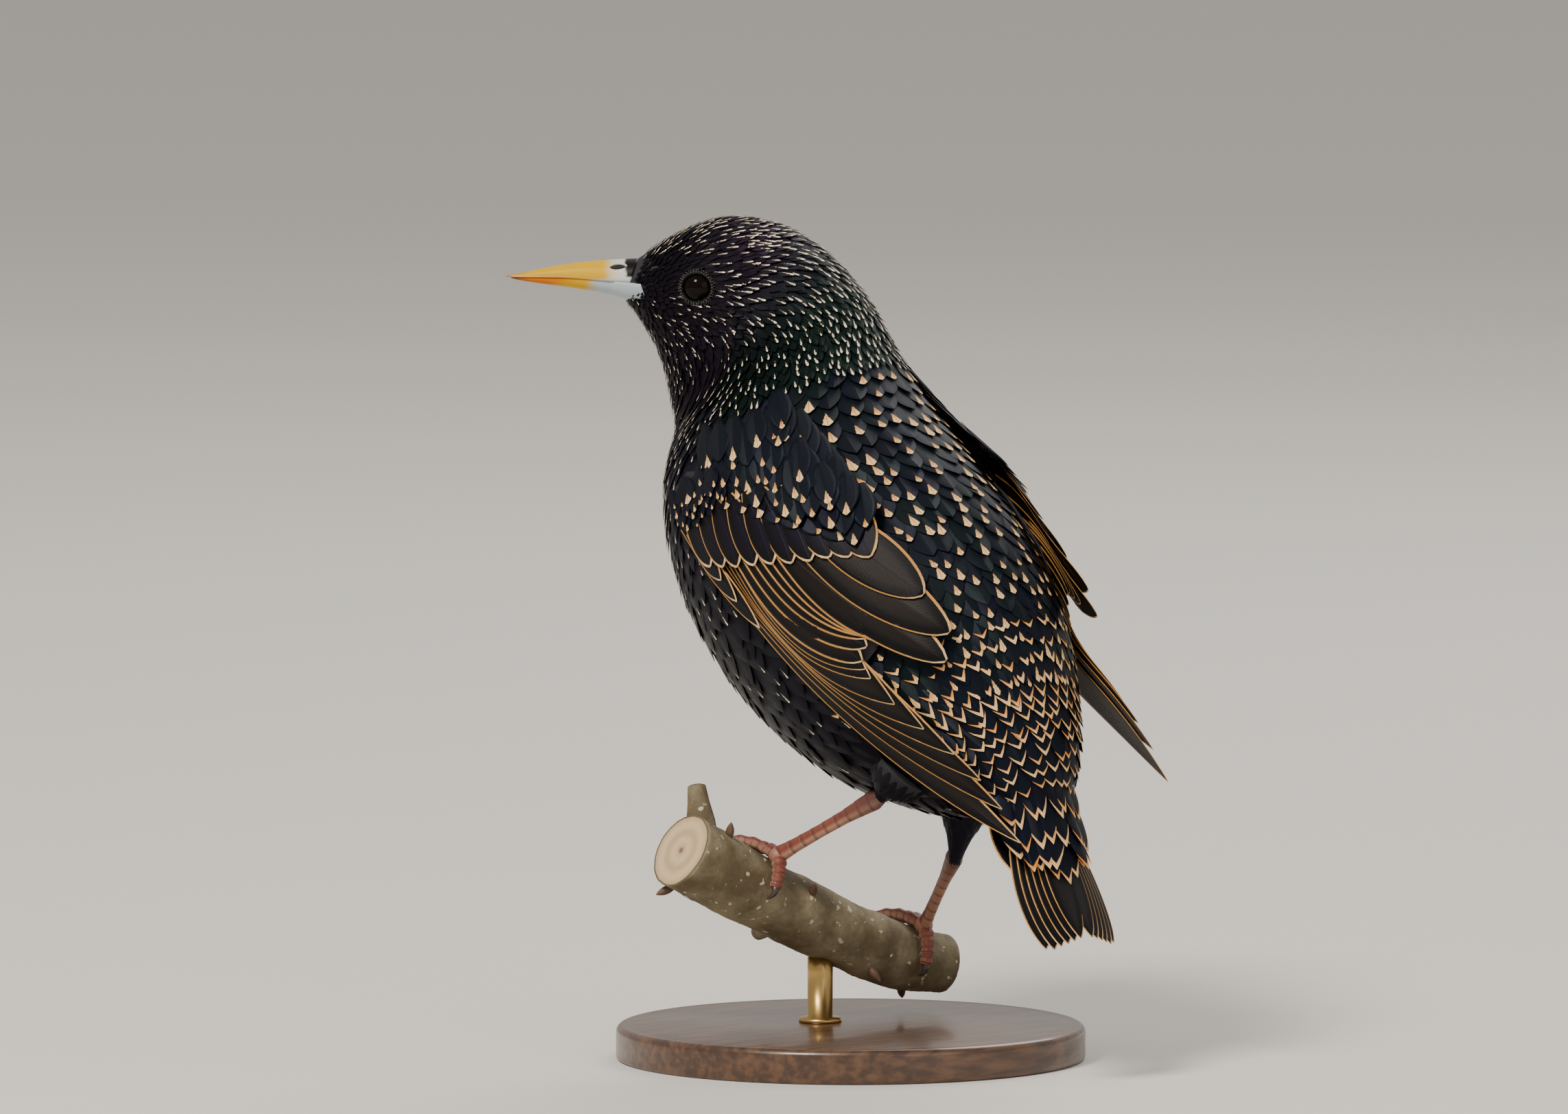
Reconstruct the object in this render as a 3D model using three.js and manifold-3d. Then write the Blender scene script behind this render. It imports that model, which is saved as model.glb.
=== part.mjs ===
import * as THREE from "three";
import { mergeVertices } from "three/addons/utils/BufferGeometryUtils.js";
import Module from "manifold-3d";

// A European starling in winter plumage, standing at life size on a slanting length of cut
// branch, its head turned to its left. Millimetres, +Z up, the bird's breast toward -Y and its
// left side toward +X, with the origin at the centre of the stand's underside.

const FLOOR_LIFT = 11.5; // height of the stand's underside below the level the body is set out from
const SEAM_GAP = 0.3; // gap between pieces that meet
const AROUND = 28; // sides of the body's cross-section
const HEAD_TURN = 47; // degrees the head is turned to the bird's left
const NECK_AXIS = { x: 2, y: -28 }; // upright line the head turns about

// The body from the tail to the bill, each row a cross-section: the turn of the section in
// degrees, then its back point and its belly point as distance behind the neck's axis and
// height, then half its width and where its widest place lies between belly and back.
const SECTIONS = [
  { turn: 0, back: [87.5, 47], belly: [77.5, 42.5], half: 9, wide: 0.5 },
  { turn: 0, back: [88, 53.5], belly: [71, 41.5], half: 12.5, wide: 0.55 },
  { turn: 0, back: [86.5, 64], belly: [61, 40], half: 17, wide: 0.55 },
  { turn: 0, back: [82.5, 77], belly: [38, 43.5], half: 24, wide: 0.53 },
  { turn: 0, back: [78, 88], belly: [22, 50], half: 28, wide: 0.5 },
  { turn: 0, back: [70, 99], belly: [7, 60], half: 30, wide: 0.48 },
  { turn: 0, back: [60, 109], belly: [-5, 73], half: 30.5, wide: 0.46 },
  { turn: 0, back: [49, 118], belly: [-12.5, 88], half: 29.5, wide: 0.45 },
  { turn: 3, back: [39, 126], belly: [-15.5, 101], half: 27, wide: 0.46 },
  { turn: 12, back: [31, 134], belly: [-16, 110], half: 23.5, wide: 0.48 },
  { turn: 26, back: [25, 142.5], belly: [-16, 116], half: 19.5, wide: 0.5 },
  { turn: 40, back: [18, 150.5], belly: [-16.4, 120], half: 16.5, wide: 0.52 },
  { turn: 46, back: [10.5, 156.3], belly: [-16.8, 123.5], half: 14.2, wide: 0.55 },
  { turn: 47, back: [3, 159.2], belly: [-17.6, 127.5], half: 12.6, wide: 0.58 },
  { turn: 47, back: [-4.5, 159.8], belly: [-18.9, 131.4], half: 11.3, wide: 0.6 },
  { turn: 47, back: [-11, 158.4], belly: [-20.9, 135.4], half: 9.7, wide: 0.58 },
  { turn: 47, back: [-17.8, 155], belly: [-23.6, 139.7], half: 7.2, wide: 0.54 },
  { turn: 47, back: [-23.4, 151.5], belly: [-26.7, 142.8], half: 4.4, wide: 0.5 },
];
const NECK_FROM = 8.6 / 17; // share of the sections below the neck
const HEAD_FROM = 11.3 / 17; // share of the sections below the head

const curveOf = (pick) => new THREE.CatmullRomCurve3(SECTIONS.map(pick), false, "catmullrom", 0.5);
const turnOf = (row) => THREE.MathUtils.degToRad(row.turn);
const sectionPoint = (row, [behind, height]) => {
  const turn = turnOf(row);
  const pivot = NECK_AXIS.x * (row.turn / HEAD_TURN);
  return new THREE.Vector3(
    pivot - Math.sin(turn) * behind,
    NECK_AXIS.y + Math.cos(turn) * behind,
    height + FLOOR_LIFT,
  );
};
const backLine = curveOf((row) => sectionPoint(row, row.back));
const bellyLine = curveOf((row) => sectionPoint(row, row.belly));
const widthLine = curveOf((row) => new THREE.Vector3(row.half, row.wide, turnOf(row)));

function bodyFrame(along) {
  const back = backLine.getPoint(along);
  const belly = bellyLine.getPoint(along);
  const size = widthLine.getPoint(along);
  const side = new THREE.Vector3(Math.cos(size.z), Math.sin(size.z), 0);
  const height = back.clone().sub(belly);
  const normal = side.clone().cross(height).normalize();
  return { back, belly, side, height, half: size.x, wide: size.y, normal };
}

function bodyPoint(along, angle, frame = bodyFrame(along), grow = 0) {
  const rise = Math.cos(angle);
  const share = frame.wide + (rise > 0 ? (1 - frame.wide) * rise : frame.wide * rise);
  const middle = frame.belly.clone().addScaledVector(frame.height, frame.wide);
  const point = frame.belly
    .clone()
    .addScaledVector(frame.height, share)
    .addScaledVector(frame.side, frame.half * Math.sin(angle));
  return point.addScaledVector(point.clone().sub(middle).normalize(), grow);
}

// Six times the volume inside a list of triangles, below zero where they face inward.
function enclosed(points, triangles) {
  const corner = (place) => new THREE.Vector3().fromArray(points, triangles[place] * 3);
  let sum = 0;
  for (let place = 0; place < triangles.length; place += 3) {
    sum += corner(place).dot(corner(place + 1).cross(corner(place + 2)));
  }
  return sum;
}

// A closed loft through rings of equal numbers of points, each end closed by a fan.
function loft(rings) {
  const points = [];
  const triangles = [];
  const count = rings[0].length;
  rings.forEach((ring) => ring.forEach((point) => points.push(point.x, point.y, point.z)));
  for (let ring = 0; ring < rings.length - 1; ring += 1) {
    for (let side = 0; side < count; side += 1) {
      const next = (side + 1) % count;
      const here = ring * count;
      const above = here + count;
      triangles.push(here + side, above + next, here + next);
      triangles.push(here + side, above + side, above + next);
    }
  }
  [rings[0], rings[rings.length - 1]].forEach((ring, end) => {
    const middle = ring.reduce((sum, point) => sum.add(point), new THREE.Vector3());
    middle.divideScalar(count);
    const centre = points.length / 3;
    points.push(middle.x, middle.y, middle.z);
    const start = end * (rings.length - 1) * count;
    for (let side = 0; side < count; side += 1) {
      const next = (side + 1) % count;
      if (end) triangles.push(centre, start + next, start + side);
      else triangles.push(centre, start + side, start + next);
    }
  });
  if (enclosed(points, triangles) < 0) triangles.reverse();
  const geometry = new THREE.BufferGeometry();
  geometry.setAttribute("position", new THREE.Float32BufferAttribute(points, 3));
  geometry.setIndex(triangles);
  return geometry;
}

function bodyPart(from, to, steps, grow = 0) {
  const pull = grow ? 0 : SEAM_GAP / 2;
  const rings = [];
  for (let step = 0; step <= steps; step += 1) {
    const along = from + ((to - from) * step) / steps;
    const frame = bodyFrame(along);
    const ring = [];
    for (let side = 0; side < AROUND; side += 1) {
      const point = bodyPoint(along, (side / AROUND) * Math.PI * 2, frame, grow);
      if (step === 0 && from > 0) point.addScaledVector(frame.normal, pull);
      if (step === steps && to < 1) point.addScaledVector(frame.normal, -pull);
      ring.push(point);
    }
    rings.push(ring);
  }
  return loft(rings);
}


const wasm = await Module();
wasm.setup();

// Joining and cutting: a closed geometry becomes a solid of shared corners and back again.
function solidOf(geometry) {
  const bare = geometry.clone();
  bare.deleteAttribute("normal");
  bare.deleteAttribute("uv");
  const merged = mergeVertices(bare, 1e-4);
  const vertProperties = new Float32Array(merged.getAttribute("position").array);
  const triVerts = new Uint32Array(merged.index.array);
  return new wasm.Manifold(new wasm.Mesh({ numProp: 3, vertProperties, triVerts }));
}

function geometryOf(solid) {
  const pieces = solid.decompose();
  pieces.sort((first, second) => second.volume() - first.volume());
  const mesh = pieces[0].getMesh();
  const geometry = new THREE.BufferGeometry();
  geometry.setAttribute("position", new THREE.BufferAttribute(mesh.vertProperties, 3));
  geometry.setIndex(new THREE.BufferAttribute(mesh.triVerts, 1));
  return geometry;
}

const joined = (geometries) => geometries.map(solidOf).reduce((sum, next) => sum.add(next));

// A closed tube of round or oval section along a list of points with a radius at each.
function tube(points, radii, sides, flatten = 1, upward = new THREE.Vector3(0, 0, 1)) {
  const rings = points.map((point, place) => {
    const before = points[Math.max(place - 1, 0)];
    const after = points[Math.min(place + 1, points.length - 1)];
    const ahead = after.clone().sub(before).normalize();
    const across = ahead.clone().cross(upward).normalize();
    const above = across.clone().cross(ahead).normalize();
    const ring = [];
    for (let side = 0; side < sides; side += 1) {
      const angle = (side / sides) * Math.PI * 2;
      ring.push(
        point
          .clone()
          .addScaledVector(above, Math.cos(angle) * radii[place] * flatten)
          .addScaledVector(across, Math.sin(angle) * radii[place]),
      );
    }
    return ring;
  });
  return loft(rings);
}

const group = new THREE.Group();
function addNode(name, geometry, colour, roughness, metalness = 0) {
  const material = new THREE.MeshStandardMaterial({ color: colour, roughness, metalness });
  const mesh = new THREE.Mesh(geometry, material);
  mesh.name = name;
  group.add(mesh);
  return mesh;
}

// The whole body as one fine surface, which wings and thighs lie against.
const bodyShell = new THREE.Mesh(
  bodyPart(0, 1, 60),
  new THREE.MeshBasicMaterial({ side: THREE.DoubleSide }),
);
const probe = new THREE.Raycaster();
const PROBE_REACH = 90;
function heightOverBody(from, outward) {
  probe.set(from.clone().addScaledVector(outward, PROBE_REACH), outward.clone().negate());
  const [hit] = probe.intersectObject(bodyShell);
  return hit ? PROBE_REACH - hit.distance : -PROBE_REACH;
}

// Head frame: forward along the turned bill, out to the bird's left, and up.
const turned = THREE.MathUtils.degToRad(HEAD_TURN);
const headForward = new THREE.Vector3(Math.sin(turned), -Math.cos(turned), 0);
const headLeft = new THREE.Vector3(Math.cos(turned), Math.sin(turned), 0);
const headPoint = (forward, out, height) =>
  new THREE.Vector3(NECK_AXIS.x, NECK_AXIS.y, height + FLOOR_LIFT)
    .addScaledVector(headForward, forward)
    .addScaledVector(headLeft, out);

// Eyes: each ball stands in a round socket behind a ring of lid.
const EYE = { forward: 8.4, height: 145.9, radius: 3.4, opening: 2.7, socket: 3.72 };
const LID = { tube: 0.62, ring: 3.3, sides: 5, around: 16, proud: 0.25 };
const eyes = [1, -1].map((sign) => {
  const outward = headLeft.clone().multiplyScalar(sign).addScaledVector(headForward, 0.22).normalize();
  const foot = headPoint(EYE.forward, 0, EYE.height);
  const reach = heightOverBody(foot, outward);
  const sunk = Math.sqrt(EYE.radius ** 2 - EYE.opening ** 2);
  const rim = foot.clone().addScaledVector(outward, reach + LID.proud);
  const centre = rim.clone().addScaledVector(outward, -sunk);
  const facing = new THREE.Quaternion().setFromUnitVectors(new THREE.Vector3(0, 0, 1), outward);
  return { sign, outward, rim, centre, facing };
});
function ballAt(centre, radius, wide, high) {
  return new THREE.SphereGeometry(radius, wide, high).translate(centre.x, centre.y, centre.z);
}

// Bill: two mandibles, each a loft of half-round sections that meet along the line of the mouth.
const BILL_TIP = { forward: 49.9, height: 147.6 };
const BILL_ROOT = { forward: 25.65, ridge: 150.9, mouth: 146.4, chin: 143.2, half: 4.1, lean: 0.38 };
const BILL_STEPS = 7;
const BILL_SIDES = 6;
function mandible(upper) {
  const rings = [];
  for (let step = 0; step <= BILL_STEPS; step += 1) {
    const share = step / BILL_STEPS;
    const slim = (1 - share) ** 0.8 * 0.955 + 0.045;
    const forward = BILL_ROOT.forward + (BILL_TIP.forward - (upper ? 0 : 0.9) - BILL_ROOT.forward) * share;
    const mouth = BILL_ROOT.mouth + (BILL_TIP.height - 0.35 - BILL_ROOT.mouth) * share ** 0.9;
    const reach = upper ? BILL_ROOT.ridge - BILL_ROOT.mouth : BILL_ROOT.chin - BILL_ROOT.mouth;
    const rise = reach * (upper ? (1 - share ** 1.25) * 0.93 + 0.07 : (1 - share) ** 0.75 * 0.95 + 0.05);
    const half = BILL_ROOT.half * slim * (upper ? 1 : 0.93);
    const lift = (upper ? 1 : -1) * (SEAM_GAP / 2);
    const lean = BILL_ROOT.lean * (1 - share) * reach;
    const ring = [];
    for (let side = 0; side <= BILL_SIDES; side += 1) {
      const angle = (side / BILL_SIDES) * Math.PI;
      const high = Math.sin(angle) ** 0.9;
      ring.push(
        headPoint(forward - lean * high, Math.cos(angle) * half, mouth + lift + rise * high),
      );
    }
    rings.push(ring);
  }
  return loft(rings);
}
const NOSTRIL = { forward: 27.0, height: 149.6, out: 2.6, long: 1.7, deep: 0.75, high: 0.5 };
function nostrilCut(sign) {
  const place = headPoint(NOSTRIL.forward, NOSTRIL.out * sign, NOSTRIL.height);
  const cut = new THREE.SphereGeometry(1, 10, 8).scale(NOSTRIL.long, NOSTRIL.deep, NOSTRIL.high);
  return cut.rotateZ(turned - Math.PI / 2).translate(place.x, place.y, place.z);
}

// Wings: every point is given along the wing from the bend, across it toward the back, and
// above the surface the wing lies on, which is the body's flank out to the free tip.
const WING_GAP = 0.65;
const WINGS = [
  {
    sign: 1,
    bend: new THREE.Vector3(28, -21.3, 105.7),
    tip: new THREE.Vector3(14, 63.1, 38),
    outward: new THREE.Vector3(0.906, 0.266, 0.328),
  },
  {
    sign: -1,
    bend: new THREE.Vector3(-28, -18, 108),
    tip: new THREE.Vector3(-22, 70, 51.6),
    outward: new THREE.Vector3(-0.906, 0.266, 0.328),
  },
];
const GRID = { from: -12, to: 118, low: -22, high: 36, along: 34, across: 20 };
function wingSurface(wing) {
  const bend = wing.bend.clone().setZ(wing.bend.z + FLOOR_LIFT);
  const tip = wing.tip.clone().setZ(wing.tip.z + FLOOR_LIFT);
  const along = tip.clone().sub(bend);
  const length = along.length();
  along.normalize();
  const out = wing.outward.clone().addScaledVector(along, -wing.outward.dot(along)).normalize();
  const across = out.clone().cross(along).multiplyScalar(wing.sign);
  const at = (s, t, h) =>
    bend.clone().addScaledVector(along, s).addScaledVector(across, t).addScaledVector(out, h);
  const stepS = (GRID.to - GRID.from) / GRID.along;
  const stepT = (GRID.high - GRID.low) / GRID.across;
  let heights = [];
  for (let i = 0; i <= GRID.along; i += 1) {
    const row = [];
    for (let j = 0; j <= GRID.across; j += 1) {
      const s = GRID.from + i * stepS;
      const t = GRID.low + j * stepT;
      const body = heightOverBody(at(s, t, 0), out) + WING_GAP;
      const free = -1.2 + 1.4 * (1 - ((t - 2) / 20) ** 2) - 3.2 * Math.max(0, (s - 70) / 40) ** 2;
      row.push({ body, height: Math.max(body, free) });
    }
    heights.push(row);
  }
  for (let pass = 0; pass < 6; pass += 1) {
    heights = heights.map((row, i) =>
      row.map((cell, j) => {
        const near = [
          heights[Math.max(i - 1, 0)][j],
          heights[Math.min(i + 1, GRID.along)][j],
          row[Math.max(j - 1, 0)],
          row[Math.min(j + 1, GRID.across)],
        ];
        const mean = near.reduce((sum, other) => sum + other.height, 0) / 4;
        return { body: cell.body, height: Math.max(cell.body, (cell.height + mean) / 2) };
      }),
    );
  }
  const heightAt = (s, t) => {
    const x = THREE.MathUtils.clamp((s - GRID.from) / stepS, 0, GRID.along - 0.001);
    const y = THREE.MathUtils.clamp((t - GRID.low) / stepT, 0, GRID.across - 0.001);
    const i = Math.floor(x);
    const j = Math.floor(y);
    const lerp = THREE.MathUtils.lerp;
    const first = lerp(heights[i][j].height, heights[i][j + 1].height, y - j);
    const second = lerp(heights[i + 1][j].height, heights[i + 1][j + 1].height, y - j);
    return lerp(first, second, x - i);
  };
  return { length, point: (s, t, h) => at(s, t, heightAt(s, t) + h) };
}

// One feather vane: a thin closed slab lying on a surface, from its root to its rounded tip.
const VANE_PLACES = [0, 0.27, 0.58, 0.83, 0.95, 1];
const VANE_SHAPE = [0.55, 0.88, 1, 0.88, 0.58, 0.22];
const COVERT_PLACES = [0, 0.4, 0.75, 0.93, 1];
const COVERT_SHAPE = [0.7, 1, 0.9, 0.6, 0.25];
function vane(surface, shape, { root, tip, half, level, thick = 0.62, bow = 0 }) {
  const along = new THREE.Vector2(tip[0] - root[0], tip[1] - root[1]);
  const across = new THREE.Vector2(-along.y, along.x).normalize();
  const rings = shape.places.map((share, place) => {
    const middle = new THREE.Vector2(...root).addScaledVector(along, share);
    middle.addScaledVector(across, bow * 4 * share * (1 - share));
    const top = THREE.MathUtils.lerp(level[0], level[1], share);
    const upper = [];
    const lower = [];
    [-1, 0, 1].forEach((edge) => {
      const spot = middle.clone().addScaledVector(across, edge * half * shape.widths[place]);
      upper.push(surface.point(spot.x, spot.y, top + (edge ? 0 : 0.12)));
      lower.unshift(surface.point(spot.x, spot.y, top + (edge ? 0 : 0.12) - thick));
    });
    return [...upper, ...lower];
  });
  return loft(rings);
}
const LONG_VANE = { places: VANE_PLACES, widths: VANE_SHAPE };
const COVERT_VANE = { places: COVERT_PLACES, widths: COVERT_SHAPE };
const spread = (count, make) => Array.from({ length: count }, (_, place) => make(place / (count - 1), place));
const mixed = (list, share) => {
  const at = Math.min(share, 0.9999) * (list.length - 1);
  const place = Math.floor(at);
  return THREE.MathUtils.lerp(list[place], list[place + 1], at - place);
};

// A wing's feathers, told along the wing from its bend and across it toward the back: the
// primaries from the longest inward, the secondaries and tertials lying over them, and then
// the coverts that roof their roots.
const PRIMARIES = { count: 7, tipAlong: [109, 101, 94, 87, 79.5, 72, 65], tipAcross: [0.8, 3.2, 4.2, 4.2, 3.2, 2.4, 2.6] };
const SECONDARIES = { count: 5, tipAlong: [63, 62, 62, 64, 67], tipAcross: [4.5, 7.5, 10, 12, 13.5] };
const TERTIALS = [
  { root: [24, 11], tip: [73, 15.6], half: 5.2, level: [2.2, 2.5] },
  { root: [26, 14], tip: [68.5, 19.8], half: 5.6, level: [2.5, 2.9] },
  { root: [28, 17], tip: [60, 21.6], half: 5.4, level: [2.9, 3.3] },
];
const GREATER_COVERTS = { count: 6, root: [[8, -2], [24, 16]], tip: [[21, -4.5], [48, 20]], half: [2.7, 4] };
const MEDIAN_COVERTS = { count: 5, root: [[0, 0], [20, 15]], tip: [[9, 1], [36, 17.5]], half: [2.6, 3.8] };
const WING_CORE = [
  { s: -1, from: -2, to: 4, top: 1.3, bottom: 0 },
  { s: 6, from: -5, to: 10, top: 2.1, bottom: 0 },
  { s: 20, from: -6.4, to: 17, top: 2.1, bottom: 0 },
  { s: 38, from: -6.2, to: 21, top: 2.2, bottom: 0 },
  { s: 52, from: -5.8, to: 19, top: 1.8, bottom: 0 },
  { s: 62, from: -4, to: 9, top: 1.0, bottom: 0 },
];
function slab(surface, rows, steps) {
  const rings = rows.map((row) => {
    const edge = (top) => (_, step) =>
      surface.point(row.s, THREE.MathUtils.lerp(row.from, row.to, step / steps), top);
    const upper = Array.from({ length: steps + 1 }, edge(row.top));
    const lower = Array.from({ length: steps + 1 }, edge(row.bottom));
    return [...upper, ...lower.reverse()];
  });
  return loft(rings);
}
const between = (ends, share) => [
  THREE.MathUtils.lerp(ends[0][0], ends[1][0], share),
  THREE.MathUtils.lerp(ends[0][1], ends[1][1], share),
];
function wingFeathers(surface) {
  const primaries = spread(PRIMARIES.count, (share) => ({
    root: [THREE.MathUtils.lerp(16, 26, share), THREE.MathUtils.lerp(-4.2, 0.5, share)],
    tip: [mixed(PRIMARIES.tipAlong, share), mixed(PRIMARIES.tipAcross, share)],
    half: THREE.MathUtils.lerp(3.6, 5, share),
    level: [THREE.MathUtils.lerp(0.9, 1.9, share), THREE.MathUtils.lerp(0.62, 1.7, share)],
    bow: THREE.MathUtils.lerp(-2.0, -0.6, share),
  }));
  const secondaries = spread(SECONDARIES.count, (share) => ({
    root: [THREE.MathUtils.lerp(24, 28, share), THREE.MathUtils.lerp(1, 9, share)],
    tip: [mixed(SECONDARIES.tipAlong, share), mixed(SECONDARIES.tipAcross, share)],
    half: 4.8,
    level: [THREE.MathUtils.lerp(2.0, 2.5, share), THREE.MathUtils.lerp(1.75, 2.35, share)],
    bow: -0.7,
  }));
  const greater = spread(GREATER_COVERTS.count, (share) => ({
    root: between(GREATER_COVERTS.root, share),
    tip: between(GREATER_COVERTS.tip, share),
    half: THREE.MathUtils.lerp(GREATER_COVERTS.half[0], GREATER_COVERTS.half[1], share),
    level: [THREE.MathUtils.lerp(2.2, 3.2, share), THREE.MathUtils.lerp(2.1, 3.7, share)],
  }));
  const median = spread(MEDIAN_COVERTS.count, (share) => ({
    root: between(MEDIAN_COVERTS.root, share),
    tip: between(MEDIAN_COVERTS.tip, share),
    half: THREE.MathUtils.lerp(MEDIAN_COVERTS.half[0], MEDIAN_COVERTS.half[1], share),
    level: [THREE.MathUtils.lerp(2.3, 3.3, share), THREE.MathUtils.lerp(2.8, 4.1, share)],
  }));
  const thumb = { root: [8, -5], tip: [37, -6.2], half: 1.9, level: [1.7, 1.75] };
  return [
    ...[...primaries, ...secondaries, ...TERTIALS, thumb].map((one) => vane(surface, LONG_VANE, one)),
    ...[...greater, ...median].map((one) => vane(surface, COVERT_VANE, one)),
  ];
}

// Tail: twelve feathers, closed, as one stack that is slightly arched across.
const TAIL = { root: [54.8, 44.2], tip: [69.4, 16.8], half: 10.2, tipHalf: 12.5, arch: 2.2, thick: 2.4 };
function tailPoint(share, across, height) {
  const y = THREE.MathUtils.lerp(TAIL.root[0], TAIL.tip[0], share);
  const z = THREE.MathUtils.lerp(TAIL.root[1], TAIL.tip[1], share) + FLOOR_LIFT;
  const half = THREE.MathUtils.lerp(TAIL.half, TAIL.tipHalf, share);
  const down = Math.atan2(TAIL.tip[0] - TAIL.root[0], TAIL.root[1] - TAIL.tip[1]);
  const raised = height - TAIL.arch * across * across;
  return new THREE.Vector3(half * across, y + Math.cos(down) * raised, z + Math.sin(down) * raised);
}

// Perch: a short cut length of branch, higher under the left foot.
const PERCH = {
  low: new THREE.Vector3(-29, -4, 17),
  right: new THREE.Vector3(-18, -4.5, 19.1),
  left: new THREE.Vector3(20, -9, 35.5),
  high: new THREE.Vector3(37, -11, 44.5),
  radiusLow: 6.3,
  radiusHigh: 8.2,
};
const perchLine = new THREE.CatmullRomCurve3([PERCH.low, PERCH.right, PERCH.left, PERCH.high]);
const perchShare = (x) => {
  let low = 0;
  let high = 1;
  for (let turn = 0; turn < 24; turn += 1) {
    const middle = (low + high) / 2;
    if (perchLine.getPoint(middle).x < x) low = middle;
    else high = middle;
  }
  return low;
};
function perchPoint(x, degrees, above) {
  const share = perchShare(x);
  const centre = perchLine.getPoint(share);
  const ahead = perchLine.getTangent(share);
  const front = new THREE.Vector3(0, -1, 0).addScaledVector(ahead, ahead.y).normalize();
  const up = front.clone().cross(ahead).normalize();
  if (up.z < 0) up.negate();
  const angle = THREE.MathUtils.degToRad(degrees);
  const radius = THREE.MathUtils.lerp(PERCH.radiusLow, PERCH.radiusHigh, share) + above;
  return centre
    .addScaledVector(up, Math.cos(angle) * radius)
    .addScaledVector(front, Math.sin(angle) * radius);
}
const PERCH_SIDES = 14;
function perchBody(grow) {
  const rings = [];
  for (let step = 0; step <= 12; step += 1) {
    const x = THREE.MathUtils.lerp(PERCH.low.x + 0.05, PERCH.high.x - 0.05, step / 12);
    const ring = [];
    for (let side = 0; side < PERCH_SIDES; side += 1) {
      ring.push(perchPoint(x, -(side / PERCH_SIDES) * 360, grow));
    }
    rings.push(ring);
  }
  return loft(rings);
}

// Legs: the feathered shank ends at the ankle, the bare tarsus runs on to the foot.
const LEGS = [
  { side: "left", x: 20, ankle: [13, 22.6, 44.8], top: [12, 31, 53], topRadius: 9.5, lift: 2.0, reach: 73 },
  { side: "right", x: -18, ankle: [-10, 20.7, 31.4], top: [-10, 26, 52], topRadius: 9, lift: 1.8, reach: 88 },
];
const TOES = [
  { name: "front", shift: 0.6, from: -36, long: 1, radius: 1.45 },
  { name: "inner", shift: -6.5, from: -34, long: 0.66, radius: 1.35 },
  { name: "outer", shift: 7, from: -34, long: 0.68, radius: 1.3 },
  { name: "hind", shift: 0.4, from: -44, long: -0.72, radius: 1.6 },
];
const TOE_STEPS = 7;
function toeLine(leg, toe, start, end, fromRadius, toRadius, steps, sink) {
  const points = [];
  const radii = [];
  for (let step = 0; step <= steps; step += 1) {
    const share = start + ((end - start) * step) / steps;
    const degrees = toe.from + toe.long * leg.reach * share + (toe.long < 0 ? 4 : 36 * toe.long * share);
    const radius = THREE.MathUtils.lerp(fromRadius, toRadius, step / steps);
    points.push(perchPoint(leg.x + Math.sign(leg.x) * toe.shift * share, degrees, radius + 0.4 + sink(step / steps)));
    radii.push(radius);
  }
  return { points, radii };
}

addNode("torso", bodyPart(0, NECK_FROM, 15), 0x14161c, 0.5);
addNode("neck", bodyPart(NECK_FROM, HEAD_FROM, 5), 0x1a1620, 0.5);

let head = solidOf(bodyPart(HEAD_FROM, 1, 12));
eyes.forEach((eye) => {
  const lid = new THREE.TorusGeometry(LID.ring, LID.tube, LID.sides, LID.around);
  lid.applyQuaternion(eye.facing).translate(eye.rim.x, eye.rim.y, eye.rim.z);
  head = head.add(solidOf(lid)).subtract(solidOf(ballAt(eye.centre, EYE.socket, 16, 8)));
});
addNode("head", geometryOf(head), 0x17141b, 0.5);
eyes.forEach((eye) => {
  const name = eye.sign > 0 ? "eye_left" : "eye_right";
  addNode(name, ballAt(eye.centre, EYE.radius, 14, 9), 0x0c0706, 0.08);
});

let upper = solidOf(mandible(true));
[1, -1].forEach((sign) => {
  upper = upper.subtract(solidOf(nostrilCut(sign)));
});
addNode("bill_upper", geometryOf(upper), 0xf2c21c, 0.4);
addNode("bill_lower", mandible(false), 0xe9b23a, 0.4);

const grownBody = solidOf(bodyPart(0, 1, 34, SEAM_GAP + 0.1));
WINGS.forEach((wing) => {
  const name = wing.sign > 0 ? "wing_left" : "wing_right";
  const surface = wingSurface(wing);
  const grown = joined([slab(surface, WING_CORE, 6), ...wingFeathers(surface)]);
  addNode(name, geometryOf(grown.subtract(grownBody)), 0x2a2320, 0.5);
});

const tailLength = Math.hypot(TAIL.tip[0] - TAIL.root[0], TAIL.root[1] - TAIL.tip[1]);
const tailSurface = {
  point: (s, t, h) => {
    const share = s / tailLength;
    return tailPoint(share, t / THREE.MathUtils.lerp(TAIL.half, TAIL.tipHalf, share), h);
  },
};
const TAIL_CORE = [
  { s: 0.6, from: -8.2, to: 8.2, top: 2.4, bottom: -2.6 },
  { s: 7, from: -8.6, to: 8.6, top: 1.3, bottom: -2.4 },
  { s: 16, from: -7.8, to: 7.8, top: 0.2, bottom: -1.6 },
  { s: 24, from: -4.5, to: 4.5, top: -0.3, bottom: -1.1 },
];
const rectrices = [1, -1].flatMap((side) =>
  spread(6, (share, place) => ({
    root: [1.2, side * THREE.MathUtils.lerp(1.2, 6.2, share)],
    tip: [tailLength - 1.6 + 1.6 * share - (place === 5 ? 0.8 : 0), side * THREE.MathUtils.lerp(1.4, 9.4, share)],
    half: 3.1,
    level: [1.2 - place * 0.24 - (side < 0 ? 0.12 : 0), 0.9 - place * 0.24 - (side < 0 ? 0.12 : 0)],
    thick: 0.6,
  })),
);
const tailPieces = rectrices.map((one) => vane(tailSurface, LONG_VANE, one));
addNode("tail", geometryOf(joined([slab(tailSurface, TAIL_CORE, 4), ...tailPieces])), 0x1c1a1c, 0.5);

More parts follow.
